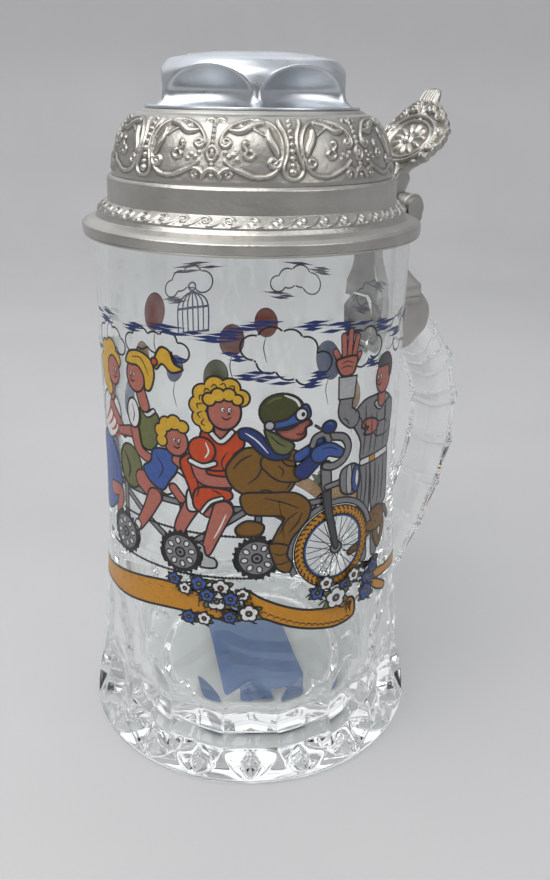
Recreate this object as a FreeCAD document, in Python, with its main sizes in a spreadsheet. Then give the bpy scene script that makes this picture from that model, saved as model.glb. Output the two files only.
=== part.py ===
import FreeCAD, Part
import math
import os
import re
import Sketcher

# A half-litre glass beer stein with a hinged pewter lid. Millimetres, +Z up.
# The origin is the centre of the foot, the handle points along +X and the lid
# turns about a pin along Y, above the handle.

SIZES = {
    # glass: outer wall, foot and inside
    "foot_radius": 50.0,
    "foot_edge": 1.6,
    "body_radius": 42.3,
    "flare_top": 90.0,
    "rim_height": 148.6,
    "rim_round": 1.4,
    "wall": 3.3,
    "floor_height": 16.0,
    "floor_corner": 6.0,
    "recess_radius": 31.0,
    "recess_depth": 4.0,
    "recess_slope": 3.0,
    # glass: lens-shaped scoops round the foot, and petals cut under it
    "scoop_count": 19,
    "scoop_height": 17.5,
    "scoop_tilt": 7.8,
    "scoop_depth": 3.1,
    "scoop_surface": 47.26,
    "wheel_radius": 36.0,
    "wheel_nose": 5.0,
    "wheel_flank": 20.0,
    "wheel_half": 9.0,
    "wheel_rim": 9.0,
    "petal_inner": 33.5,
    "petal_outer": 45.5,
    "petal_radius": 11.0,
    # glass handle: half sizes of its eight-sided section
    "grip_inner": 7.0,
    "grip_outer": 7.0,
    "grip_inner_half": 5.5,
    "grip_corner": 5.0,
    "grip_corner_half": 7.5,
    "grip_side": 2.5,
    "grip_side_half": 8.2,
    "grip_outer_half": 4.0,
    # glass handle: centre line, from the upper root to the lower one
    "grip_root_x": 40.3,
    "grip_root_z": 117.0,
    "grip_strap_x": 55.0,
    "grip_strap_z": 114.5,
    "grip_top_x": 63.5,
    "grip_top_z": 107.5,
    "grip_shoulder_x": 70.8,
    "grip_shoulder_z": 98.0,
    "grip_upper_x": 74.8,
    "grip_upper_z": 85.0,
    "grip_middle_x": 74.6,
    "grip_middle_z": 70.0,
    "grip_lower_x": 70.3,
    "grip_lower_z": 56.0,
    "grip_elbow_x": 63.8,
    "grip_elbow_z": 42.5,
    "grip_heel_x": 55.5,
    "grip_heel_z": 31.0,
    "grip_end_x": 39.5,
    "grip_end_z": 17.7,
    # care label in the recess under the foot
    "label_length": 44.0,
    "label_width": 26.0,
    "label_thickness": 0.3,
    "label_corner": 3.0,
    "label_turn": 70.0,
    # lid: skirt round the glass rim, sloped ring and plain band
    "skirt_radius": 44.8,
    "skirt_inner": 43.3,
    "skirt_bottom": 146.0,
    "lid_seat": 149.0,
    "skirt_lip": 0.5,
    "shoulder_radius": 41.0,
    "shoulder_top": 150.7,
    "ring_bottom_radius": 40.6,
    "ring_bottom": 152.0,
    "ring_top_radius": 37.9,
    "ring_top": 154.3,
    "band_top": 159.9,
    "band_step": 160.5,
    "band_step_radius": 37.2,
    "lid_wall": 1.8,
    # lid: dome
    "dome_radius": 36.6,
    "dome_bottom": 160.5,
    "dome_knee_radius": 34.6,
    "dome_knee": 169.0,
    "dome_shoulder_radius": 30.2,
    "dome_top": 175.3,
    "dome_side_arc": 60.0,
    "dome_top_arc": 7.5,
    "plate_radius": 28.0,
    "plate_top": 176.3,
    "screw_hole": 2.1,
    # knob: a cap with six arched scoops
    "knob_radius": 27.6,
    "knob_foot": 1.0,
    "knob_waist": 25.4,
    "knob_waist_height": 179.0,
    "knob_shoulder_radius": 23.8,
    "knob_shoulder": 185.6,
    "knob_top_radius": 19.5,
    "knob_top": 188.6,
    "knob_top_arc": 4.6,
    "knob_crown": 189.6,
    "knob_scoops": 6,
    "knob_scoop_radius": 24.0,
    "knob_scoop_reach": 43.7,
    "knob_scoop_base": 179.6,
    "knob_scoop_tilt": 32.0,
    "knob_turn": 29.0,
    "knob_hollow_radius": 15.0,
    "knob_hollow_depth": 8.0,
    "knob_boss_radius": 5.0,
    # screw and washer that hold the knob
    "screw_radius": 2.0,
    "screw_length": 9.0,
    "screw_head_radius": 4.0,
    "screw_head": 2.4,
    "washer_radius": 7.0,
    "washer_thickness": 1.0,
    # hinge: pin, knuckles and tang
    "pin_x": 50.5,
    "pin_z": 149.5,
    "pin_radius": 1.6,
    "pin_play": 0.05,
    "knuckle_radius": 4.2,
    "knuckle_half": 3.6,
    "knuckle_gap": 0.3,
    "hinge_half": 8.6,
    "cap_radius": 3.0,
    "cap_height": 1.1,
    "tang_inner": 38.4,
    "tang_bottom": 149.2,
    "tang_top": 153.7,
    # thumblift: side view
    "lift_foot_inner": 44.6,
    "lift_foot_outer": 52.6,
    "lift_foot_z": 153.7,
    "lift_lug_x": 53.6,
    "lift_lug_z": 156.6,
    "lift_lug_top_x": 52.4,
    "lift_lug_top": 160.5,
    "lift_back_x": 55.5,
    "lift_back_z": 166.0,
    "lift_bow_x": 60.4,
    "lift_bow_z": 172.0,
    "lift_back_top_x": 63.2,
    "lift_back_top": 178.0,
    "lift_tip_outer_x": 65.4,
    "lift_tip_x": 63.6,
    "lift_tip_z": 182.6,
    "lift_front_top_x": 60.4,
    "lift_front_top": 178.4,
    "lift_front_bow_x": 57.6,
    "lift_front_bow": 172.4,
    "lift_front_x": 52.2,
    "lift_front_z": 165.6,
    # thumblift: front view
    "lift_neck_half": 3.6,
    "lift_neck_top": 160.0,
    "lift_wing_half": 14.0,
    "lift_wing_z": 168.6,
    "lift_wing_arc": 13.0,
    "lift_crest_half": 5.2,
    "lift_crest_z": 178.2,
    "lift_crest_arc": 16.0,
    "lift_tip_half": 3.4,
    "lift_tip_side": 180.4,
    # strap round the handle, its lining and the shank up to the hinge
    "strap_inner_x": 46.6,
    "strap_half": 10.2,
    "strap_bottom": 105.5,
    "strap_top": 124.6,
    "strap_top_x": 56.0,
    "strap_nose_x": 62.2,
    "strap_nose_z": 120.2,
    "strap_toe_x": 52.5,
    "strap_edge": 4.5,
    "lining": 0.7,
    "shank_inner_x": 43.2,
    "shank_clear_x": 45.6,
    "shank_clear_z": 144.6,
    "shank_step_x": 56.4,
    "shank_step_z": 126.6,
    "shank_step_rise": 1.2,
    "shank_waist_x": 50.2,
    "shank_waist_z": 138.0,
    "shank_root": 3.0,
    "shank_sweep": 13.0,
    "shank_top_x": 53.6,
    "shank_waist_half": 5.0,
    "shank_foot_half": 9.0,
}

doc = FreeCAD.newDocument("stein")
sheet = doc.addObject("Spreadsheet::Sheet", "Sizes")
for line, (alias, size) in enumerate(SIZES.items(), 1):
    sheet.set(f"A{line}", alias)
    sheet.set(f"B{line}", str(size))
    sheet.setAlias(f"B{line}", alias)
doc.recompute()

nodes = {}


def bound(expression):
    """The expression with every alias looked up on the sheet."""
    def look_up(word):
        return f"Sizes.{word.group()}" if word.group() in SIZES else word.group()
    return re.sub(r"[a-z]\w*", look_up, expression)


def value(expression):
    """The number that an expression on the sheet's aliases gives now."""
    return float(sheet.evalExpression(expression))


def bind(item, **properties):
    """Bind properties of a document object to expressions on the sheet."""
    for name, expression in properties.items():
        item.setExpression(name.replace("__", "."), bound(expression))
    return item


def node(item, label):
    """Name a finished sub-part: its label is its file and node name."""
    item.Label = label
    nodes[label] = item
    return item


def body(name):
    return doc.addObject("PartDesign::Body", name)


def plane(owner, role):
    return next(f for f in owner.Origin.OriginFeatures if f.Role == role)


def sketch(owner, name, role, outline, closed=True, **offset):
    """A sketch of lines and arcs on an origin plane, every point bound to the sheet.

    A corner is (x, y), or (x, y, radius, turn) where an arc comes to it from the
    corner before: turn is 1 anticlockwise and -1 clockwise.
    """
    drawing = owner.newObject("Sketcher::SketchObject", name)
    drawing.AttachmentSupport = (plane(owner, role), [""])
    drawing.MapMode = "FlatFace"
    bind(drawing, **{f"AttachmentOffset__{k}": v for k, v in offset.items()})
    count = len(outline)
    spots = [FreeCAD.Vector(value(c[0]), value(c[1]), 0) for c in outline]
    first = 0 if closed else 1
    ends = []
    for index in range(first, count):
        start, stop, corner = spots[index - 1], spots[index], outline[index]
        if len(corner) == 2:
            edge = drawing.addGeometry(Part.LineSegment(start, stop))
            ends.append((edge, 1, 2))
            continue
        radius, turn = value(corner[2]), corner[3]
        chord = stop - start
        rise = math.sqrt(max(radius**2 - chord.Length**2 / 4, 0))
        middle = (start + stop) / 2
        side = FreeCAD.Vector(-chord.y, chord.x, 0).normalize() * rise * turn
        centre = middle + side
        a, b = (math.atan2(*(p - centre)[1::-1]) for p in (start, stop))
        if turn < 0:
            a, b = b, a
        ring = Part.Circle(centre, FreeCAD.Vector(0, 0, 1), radius)
        edge = drawing.addGeometry(Part.ArcOfCircle(ring, a, b))
        ends.append((edge, 1, 2) if turn > 0 else (edge, 2, 1))
        pin = drawing.addConstraint(Sketcher.Constraint("Radius", edge, radius))
        drawing.setExpression(f"Constraints[{pin}]", bound(corner[2]))
    for here, after in zip(ends, ends[1:] + ends[:1] if closed else ends[1:]):
        drawing.addConstraint(
            Sketcher.Constraint("Coincident", here[0], here[2], after[0], after[1])
        )
    points = [(edge, stop) for edge, _, stop in ends]
    if not closed:
        points.insert(0, (ends[0][0], ends[0][1]))
    for (edge, spot), corner in zip(points, outline):
        for axis, kind, text in ((-2, "DistanceX", corner[0]), (-1, "DistanceY", corner[1])):
            if text == "0":
                drawing.addConstraint(Sketcher.Constraint("PointOnObject", edge, spot, axis))
                continue
            rule = Sketcher.Constraint(kind, -1, 1, edge, spot, value(text))
            place = drawing.addConstraint(rule)
            drawing.setExpression(f"Constraints[{place}]", bound(text))
    return drawing


def turned(owner, name, outline):
    """A solid of revolution about Z from an outline in the XZ plane."""
    drawing = sketch(owner, f"{name}_outline", "XZ_Plane", outline)
    feature = owner.newObject("PartDesign::Revolution", name)
    feature.Profile = drawing
    feature.ReferenceAxis = (drawing, ["V_Axis"])
    feature.Angle = 360
    return feature


def padded(owner, name, role, outline, length):
    """A plate of an outline, half its length either side of an origin plane."""
    feature = owner.newObject("PartDesign::Pad", name)
    feature.Profile = sketch(owner, f"{name}_outline", role, outline)
    feature.SideType = "Symmetric"
    bind(feature, Length=length)
    return feature


def repeated(owner, feature, count):
    """The feature in a ring about Z."""
    pattern = owner.newObject("PartDesign::PolarPattern", f"{feature.Name}_ring")
    pattern.Originals = [feature]
    pattern.Axis = (plane(owner, "Z_Axis"), [""])
    pattern.Angle = 360
    bind(pattern, Occurrences=count)
    owner.Tip = pattern
    return pattern


def cylinder(name, radius, height, x="0", y="0", z="0", along="z"):
    """A round bar from a point, along Z or Y."""
    bar = doc.addObject("Part::Cylinder", name)
    if along == "y":
        bar.Placement = FreeCAD.Placement(
            FreeCAD.Vector(), FreeCAD.Rotation(FreeCAD.Vector(1, 0, 0), -90)
        )
    return bind(bar, Radius=radius, Height=height, Placement__Base__x=x,
                Placement__Base__y=y, Placement__Base__z=z)


def box(name, length, width, height, x, y, z):
    block = doc.addObject("Part::Box", name)
    return bind(block, Length=length, Width=width, Height=height, Placement__Base__x=x,
                Placement__Base__y=y, Placement__Base__z=z)


def cut(name, base, tool):
    result = doc.addObject("Part::Cut", name)
    result.Base = base
    result.Tool = tool
    return result


def fuse(name, *shapes):
    result = doc.addObject("Part::MultiFuse", name)
    result.Shapes = list(shapes)
    result.Refine = True
    return result


def common(name, *shapes):
    result = doc.addObject("Part::MultiCommon", name)
    result.Shapes = list(shapes)
    return result


def rounded(name, shape, radius, picked):
    """The shape with the edges that picked(edge) chooses rounded."""
    soft = doc.addObject("Part::Fillet", name)
    soft.Base = shape
    doc.recompute()
    size = value(radius)
    soft.Edges = [(n, size, size) for n, e in enumerate(shape.Shape.Edges, 1) if picked(e)]
    return soft


# --- glass body ---------------------------------------------------------------

def glass_body():
    mug = body("glass")
    turned(mug, "glass_wall", [
        ("0", "recess_depth"),
        ("recess_radius - recess_slope", "recess_depth"),
        ("recess_radius", "0"),
        ("foot_radius - foot_edge", "0"),
        ("foot_radius", "foot_edge", "foot_edge", 1),
        ("body_radius", "flare_top", "((flare_top - foot_edge)^2 + (foot_radius - body_radius)^2)"
         " / (2 * (foot_radius - body_radius))", -1),
        ("body_radius", "rim_height - rim_round"),
        ("body_radius - rim_round", "rim_height", "rim_round", 1),
        ("body_radius - wall + rim_round", "rim_height"),
        ("body_radius - wall", "rim_height - rim_round", "rim_round", 1),
        ("body_radius - wall", "floor_height + floor_corner"),
        ("body_radius - wall - floor_corner", "floor_height", "floor_corner", -1),
        ("0", "floor_height"),
    ])
    # Each scoop is cut by a wheel with a blunt V edge, turning about a level axis
    # outside the foot. Neighbours just meet at mid height.
    nose_x = "(-wheel_radius + wheel_nose * (1 - cos(wheel_flank * 1 deg)))"
    nose_y = "(wheel_nose * sin(wheel_flank * 1 deg))"
    flank_x = f"({nose_x} + (wheel_half - {nose_y}) * tan(wheel_flank * 1 deg))"
    reach = "(wheel_radius - scoop_depth)"
    wheel = sketch(
        mug, "scoop_wheel", "XY_Plane",
        [
            (nose_x, nose_y),
            (nose_x, f"-{nose_y}", "wheel_nose", 1),
            (flank_x, "-wheel_half"),
            ("wheel_rim - wheel_radius", "-wheel_half"),
            ("wheel_rim - wheel_radius", "wheel_half"),
            (flank_x, "wheel_half"),
        ],
        Base__x=f"scoop_surface + {reach} * cos(scoop_tilt * 1 deg)",
        Base__z=f"scoop_height + {reach} * sin(scoop_tilt * 1 deg)",
    )
    wheel.AttachmentOffset.Rotation = FreeCAD.Rotation(FreeCAD.Vector(0, 1, 0), -1)
    bind(wheel, AttachmentOffset__Rotation__Axis__y="1", AttachmentOffset__Rotation__Axis__z="0",
         AttachmentOffset__Rotation__Angle="-scoop_tilt")
    scoop = mug.newObject("PartDesign::Groove", "scoop")
    scoop.Profile = wheel
    scoop.ReferenceAxis = (wheel, ["V_Axis"])
    scoop.Angle = 360
    repeated(mug, scoop, "scoop_count")
    petal_outline = sketch(mug, "petal_outline", "XZ_Plane", [
        ("petal_outer", "0"),
        ("petal_inner", "0", "petal_radius", 1),
    ])
    petal = mug.newObject("PartDesign::Groove", "petal")
    petal.Profile = petal_outline
    petal.ReferenceAxis = (petal_outline, ["H_Axis"])
    petal.Angle = 360
    repeated(mug, petal, "scoop_count")
    bind(mug, Placement__Rotation__Angle="180 / scoop_count")
    return node(mug, "glass_body")


def grip_sweep(name, extra):
    """The handle's eight-sided bar, grown by a margin, as a mitred sweep."""
    grip = body(name)
    stations = ("root", "strap", "top", "shoulder", "upper", "middle", "lower", "elbow", "heel", "end")
    path = sketch(grip, f"{name}_path", "XZ_Plane",
                  [(f"grip_{s}_x", f"grip_{s}_z") for s in stations], closed=False)
    half = [
        (f"grip_outer_half + {extra}", f"grip_outer + {extra}"),
        (f"grip_side_half + {extra}", "grip_side"),
        (f"grip_corner_half + {extra}", "-grip_corner"),
        (f"grip_inner_half + {extra}", f"-grip_inner - {extra}"),
    ]
    mirror = [(f"-({y})", z) for y, z in reversed(half)]
    section = sketch(grip, f"{name}_section", "YZ_Plane", half + mirror,
                     Base__y="grip_root_z", Base__z="grip_root_x")
    sweep = grip.newObject("PartDesign::AdditivePipe", f"{name}_sweep")
    sweep.Profile = section
    sweep.Spine = (path, [f"Edge{n + 1}" for n in range(len(stations) - 1)])
    sweep.Transition = "Right corner"
    return grip


def glass_handle(mug):
    """The bar from the upper root to the lower one, cut back to the glass it is fused to."""
    core = cylinder("grip_core", "body_radius - wall + 1", "rim_height")
    bar = grip_sweep("grip", "0")
    return node(cut("handle", bar, fuse("handle_socket", mug, core)), "glass_handle")


def base_label():
    """A thin rounded label on the roof of the recess under the foot."""
    plate = box("label_plate", "label_length", "label_width", "label_thickness",
                "-label_length / 2", "-label_width / 2", "recess_depth - label_thickness")
    corners = rounded("label_corners", plate, "label_corner", lambda e: e.BoundBox.ZLength > 0.1)
    bind(corners, Placement__Rotation__Angle="label_turn")
    return node(corners, "base_label")


# --- lid ----------------------------------------------------------------------

def lid_rim():
    """The skirt that drops over the glass, the sloped ring and the plain band."""
    rim = body("rim")
    turned(rim, "rim_wall", [
        ("skirt_inner", "skirt_bottom"),
        ("skirt_radius - skirt_lip", "skirt_bottom"),
        ("skirt_radius", "skirt_bottom + skirt_lip"),
        ("skirt_radius", "lid_seat"),
        ("shoulder_radius", "shoulder_top"),
        ("ring_bottom_radius", "ring_bottom"),
        ("ring_top_radius", "ring_top"),
        ("ring_top_radius", "band_top"),
        ("band_step_radius", "band_step"),
        ("band_step_radius - lid_wall", "band_step"),
        ("band_step_radius - lid_wall", "ring_top - lid_wall"),
        ("shoulder_radius - 2 * lid_wall", "lid_seat"),
        ("skirt_inner", "lid_seat"),
    ])
    return node(rim, "lid_rim")


def lid_dome():
    """The embossed dome: a shell that stands on the band, closed by a flat top plate."""
    dome = body("dome")
    turned(dome, "dome_shell", [
        ("dome_radius - lid_wall", "dome_bottom"),
        ("dome_radius", "dome_bottom"),
        ("dome_knee_radius", "dome_knee", "dome_side_arc", 1),
        ("dome_shoulder_radius", "dome_top", "dome_top_arc", 1),
        ("plate_radius", "plate_top"),
        ("screw_hole", "plate_top"),
        ("screw_hole", "plate_top - lid_wall"),
        ("washer_radius + 1", "plate_top - lid_wall"),
        ("plate_radius", "plate_top - lid_wall - 1"),
        ("dome_knee_radius - lid_wall", "dome_knee"),
    ])
    return node(dome, "lid_dome")


def lid_knob():
    """The fuel-cap knob: a hollow crown with arched finger scoops round its side."""
    knob = body("cap")
    turned(knob, "cap_wall", [
        ("screw_radius", "plate_top"),
        ("knob_boss_radius", "plate_top"),
        ("knob_boss_radius", "plate_top + knob_hollow_depth"),
        ("knob_hollow_radius", "plate_top + knob_hollow_depth"),
        ("knob_hollow_radius", "plate_top"),
        ("knob_radius", "plate_top"),
        ("knob_radius", "plate_top + knob_foot"),
        ("knob_waist", "knob_waist_height"),
        ("knob_shoulder_radius", "knob_shoulder"),
        ("knob_top_radius", "knob_top", "knob_top_arc", 1),
        ("0", "knob_crown"),
        ("0", "knob_crown - lid_wall"),
        ("screw_radius", "knob_crown - lid_wall"),
    ])
    # A scoop is a leaning barrel of air that bites into the side of the crown.
    ring = knob.newObject("Sketcher::SketchObject", "cap_scoop_ring")
    ring.AttachmentSupport = (plane(knob, "XY_Plane"), [""])
    ring.MapMode = "FlatFace"
    bind(ring, AttachmentOffset__Base__x="knob_scoop_reach", AttachmentOffset__Base__z="knob_scoop_base")
    ring.addGeometry(Part.Circle(FreeCAD.Vector(), FreeCAD.Vector(0, 0, 1), value("knob_scoop_radius")))
    ring.addConstraint(Sketcher.Constraint("Coincident", 0, 3, -1, 1))
    ring.addConstraint(Sketcher.Constraint("Radius", 0, value("knob_scoop_radius")))
    ring.setExpression("Constraints[1]", bound("knob_scoop_radius"))
    scoop = knob.newObject("PartDesign::Pocket", "cap_scoop")
    scoop.Profile = ring
    scoop.UseCustomVector = True
    lean = math.radians(value("knob_scoop_tilt"))
    scoop.Direction = FreeCAD.Vector(math.sin(lean), 0, math.cos(lean))
    bind(scoop, Length="2 * (knob_crown - knob_scoop_base)")
    repeated(knob, scoop, "knob_scoops")
    bind(knob, Placement__Rotation__Angle="knob_turn")
    return node(knob, "lid_knob")


def knob_fixings():
    """The screw up into the knob from inside the lid, and the washer under its head."""
    under = "plate_top - lid_wall"
    shaft = cylinder("screw_shaft", "screw_radius", "screw_length",
                     z=f"{under} - washer_thickness")
    head = cylinder("screw_head_disc", "screw_head_radius", "screw_head",
                    z=f"{under} - washer_thickness - screw_head")
    node(fuse("screw", shaft, head), "knob_screw")
    disc = cylinder("washer_disc", "washer_radius", "washer_thickness",
                    z=f"{under} - washer_thickness")
    hole = cylinder("washer_hole", "screw_hole", "washer_thickness",
                    z=f"{under} - washer_thickness")
    node(cut("washer", disc, hole), "knob_washer")


# --- hinge --------------------------------------------------------------------

def crosswise(name, radius, half, x="pin_x", z="pin_z"):
    """A round bar along Y, centred on the plane of the handle."""
    return cylinder(name, radius, f"2 * {half}", x=x, y=f"-{half}", z=z, along="y")


def lid_tang(rim):
    """The lug cast on the lid, ending in the middle knuckle of the hinge."""
    arm = box("tang_arm", "pin_x - tang_inner", "2 * knuckle_half", "tang_top - tang_bottom",
              "tang_inner", "-knuckle_half", "tang_bottom")
    whole = fuse("tang_whole", arm, crosswise("tang_knuckle", "knuckle_radius", "knuckle_half"))
    bored = cut("tang_bored", whole,
                crosswise("tang_bore", "pin_radius + pin_play", "hinge_half"))
    return node(cut("tang", bored, rim), "lid_tang")


def thumblift():
    """The S-curved thumb plate: its side view and its front view, cut from one block."""
    side = body("lift_side")
    padded(side, "lift_side_pad", "XZ_Plane", [
        ("lift_foot_inner", "lift_foot_z"),
        ("lift_foot_outer", "lift_foot_z"),
        ("lift_lug_x", "lift_lug_z"),
        ("lift_lug_top_x", "lift_lug_top"),
        ("lift_back_x", "lift_back_z"),
        ("lift_bow_x", "lift_bow_z"),
        ("lift_back_top_x", "lift_back_top"),
        ("lift_tip_outer_x", "lift_tip_z - 1.4"),
        ("lift_tip_x", "lift_tip_z"),
        ("lift_front_top_x", "lift_front_top"),
        ("lift_front_bow_x", "lift_front_bow"),
        ("lift_front_x", "lift_front_z"),
    ], "4 * lift_wing_half")
    front = body("lift_front")
    right = [
        ("lift_neck_half", "lift_foot_z"),
        ("lift_neck_half", "lift_neck_top"),
        ("lift_wing_half", "lift_wing_z", "lift_wing_arc", 1),
        ("lift_crest_half", "lift_crest_z", "lift_crest_arc", 1),
        ("lift_tip_half", "lift_tip_side"),
        ("lift_tip_half - 2", "lift_tip_z"),
    ]
    left = [
        ("2 - lift_tip_half", "lift_tip_z"),
        ("-lift_tip_half", "lift_tip_side"),
        ("-lift_crest_half", "lift_crest_z"),
        ("-lift_wing_half", "lift_wing_z", "lift_crest_arc", 1),
        ("-lift_neck_half", "lift_neck_top", "lift_wing_arc", 1),
        ("-lift_neck_half", "lift_foot_z"),
    ]
    padded(front, "lift_front_pad", "YZ_Plane", right + left, "4 * pin_x")
    return node(common("lift", side, front), "thumblift")


def hinge_pin():
    node(crosswise("pin", "pin_radius", "hinge_half"), "hinge_pin")
    near = cylinder("near_cap", "cap_radius", "cap_height", x="pin_x",
                    y="-hinge_half - cap_height", z="pin_z", along="y")
    far = cylinder("far_cap", "cap_radius", "cap_height", x="pin_x", y="hinge_half",
                   z="pin_z", along="y")
    caps = doc.addObject("Part::Compound", "caps")
    caps.Links = [near, far]
    return node(caps, "pin_end_caps")


def strap_block(name, extra, width):
    """A plate of the strap's side view, with its body side moved out by a margin."""
    block = body(name)
    padded(block, f"{name}_pad", "XZ_Plane", [
        (f"strap_inner_x - {extra}", "strap_bottom"),
        ("strap_toe_x", "strap_bottom"),
        ("strap_nose_x", "strap_nose_z"),
        ("strap_top_x", "strap_top"),
        (f"strap_inner_x - {extra}", "strap_top"),
    ], width)
    return block


def strap_ring():
    """The band round the handle, with the long edges of its sides well rounded."""
    block = strap_block("ring_block", "0", "2 * strap_half")
    flank = value("strap_half") - 0.01
    return rounded("ring", block, "strap_edge",
                   lambda e: e.BoundBox.YLength < 0.01 and abs(e.BoundBox.YMin) > flank
                   and e.BoundBox.XLength > 0.01)


def shank():
    """The arm from the ring up to the two outer knuckles of the hinge."""
    side = body("shank_side")
    padded(side, "shank_side_pad", "XZ_Plane", [
        ("shank_inner_x", "strap_top - shank_root"),
        ("shank_step_x", "strap_top - shank_root"),
        ("shank_step_x", "shank_step_z"),
        ("shank_step_x - 1", "shank_step_z + shank_step_rise"),
        ("shank_waist_x", "shank_waist_z", "shank_sweep", -1),
        ("shank_top_x", "pin_z - 1"),
        ("shank_clear_x", "pin_z - 1"),
        ("shank_clear_x", "shank_clear_z"),
        ("shank_inner_x", "shank_clear_z - 2"),
    ], "4 * shank_foot_half")
    front = body("shank_front")
    right = [
        ("shank_foot_half", "strap_top - shank_root"),
        ("shank_foot_half", "shank_step_z"),
        ("shank_waist_half", "shank_waist_z", "shank_sweep", -1),
        ("hinge_half", "pin_z - knuckle_radius"),
        ("hinge_half", "pin_z"),
    ]
    left = [
        ("-hinge_half", "pin_z"),
        ("-hinge_half", "pin_z - knuckle_radius"),
        ("-shank_waist_half", "shank_waist_z"),
        ("-shank_foot_half", "shank_step_z", "shank_sweep", -1),
        ("-shank_foot_half", "strap_top - shank_root"),
    ]
    padded(front, "shank_front_pad", "YZ_Plane", right + left, "4 * pin_x")
    return common("shank_arm", side, front)


def handle_strap(handle):
    """The strap cast round the top of the handle, in one piece with its shank, and its lining."""
    sleeve = grip_sweep("sleeve", "lining")
    length = strap_block("lining_length", "lining", "4 * strap_half")
    node(cut("lining_cut", common("lining_block", sleeve, length), handle), "strap_lining")
    solid = fuse("strap_with_shank", strap_ring(), shank(),
                 crosswise("outer_knuckles", "knuckle_radius", "hinge_half"))
    slot_half = "(knuckle_half + knuckle_gap)"
    slot = crosswise("knuckle_slot", "knuckle_radius + knuckle_gap", slot_half)
    notch = box("tang_notch", "pin_x - shank_inner_x", f"2 * {slot_half}", "2 * knuckle_radius",
                "shank_inner_x", f"-{slot_half}", "pin_z - 1")
    bore = crosswise("strap_bore", "pin_radius", "hinge_half")
    node(cut("strap_cut", solid, fuse("strap_tools", slot, notch, bore, sleeve)), "handle_strap")


mug = glass_body()
handle = glass_handle(mug)
base_label()
rim = lid_rim()
lid_dome()
lid_knob()
knob_fixings()
lid_tang(rim)
thumblift()
hinge_pin()
handle_strap(handle)
doc.recompute()
failed = [item.Name for item in doc.Objects if {"Invalid", "Error"} & set(item.State)]
broken = [label for label, item in nodes.items()
          if item.Shape.isNull() or not item.Shape.isValid() or not item.Shape.Solids]
if failed or broken:
    raise SystemExit(f"not written: failed objects {failed}, bad sub-parts {broken}")
os.makedirs("parts", exist_ok=True)
for label, item in nodes.items():
    item.Shape.exportStep(f"parts/{label}.step")
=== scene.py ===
import math

import bmesh
import bpy
import numpy as np
from mathutils import Matrix, Vector


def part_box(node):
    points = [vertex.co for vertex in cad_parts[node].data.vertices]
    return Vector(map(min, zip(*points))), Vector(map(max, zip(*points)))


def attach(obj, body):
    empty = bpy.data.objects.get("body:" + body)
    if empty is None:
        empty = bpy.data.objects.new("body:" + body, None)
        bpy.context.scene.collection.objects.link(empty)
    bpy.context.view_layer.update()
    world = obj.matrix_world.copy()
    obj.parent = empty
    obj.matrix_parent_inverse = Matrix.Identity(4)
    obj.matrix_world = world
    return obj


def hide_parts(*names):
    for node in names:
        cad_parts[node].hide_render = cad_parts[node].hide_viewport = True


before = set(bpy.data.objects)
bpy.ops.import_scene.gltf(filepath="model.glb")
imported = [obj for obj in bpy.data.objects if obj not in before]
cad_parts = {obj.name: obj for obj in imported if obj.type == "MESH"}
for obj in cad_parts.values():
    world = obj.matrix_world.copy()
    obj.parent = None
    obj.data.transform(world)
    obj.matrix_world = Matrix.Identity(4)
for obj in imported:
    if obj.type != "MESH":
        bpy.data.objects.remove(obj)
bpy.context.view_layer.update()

# A half-litre glass stein with a hinged pewter lid. Lengths are millimetres, and MM turns
# them into Blender's metres. phi is the angle round the mug from the handle, in radians.

MM = 0.001
TAU = 2 * math.pi


# --- sizes taken from the frame -------------------------------------------------

def span(node):
    """Lowest and highest corner of a CAD node, in millimetres."""
    low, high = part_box(node)
    return np.array(low) / MM, np.array(high) / MM


FOOT_RADIUS = -span("glass_body")[0][0]
RIM_HEIGHT = span("glass_body")[1][2]
SKIRT_BOTTOM = span("lid_rim")[0][2]
SKIRT_RADIUS = -span("lid_rim")[0][0]
BAND_TOP = span("lid_rim")[1][2]
PLATE_TOP = span("lid_dome")[1][2]
KNOB_RADIUS = -span("lid_knob")[0][0]
KNOB_CROWN = span("lid_knob")[1][2]
PIN_X, _, PIN_Z = sum(span("hinge_pin")) / 2

BODY_RADIUS = 42.3
WALL = 3.3
FLARE_TOP = 90.0          # the straight wall begins here
FOOT_EDGE = 1.6
FLOOR_HEIGHT = 16.0
RECESS_ROOF = 4.08
SCOOPS = 19
LID_WALL = 1.8
FRONT = 237.0             # degrees round from the handle to the middle of the picture


# --- shared mesh and material helpers -------------------------------------------

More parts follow.
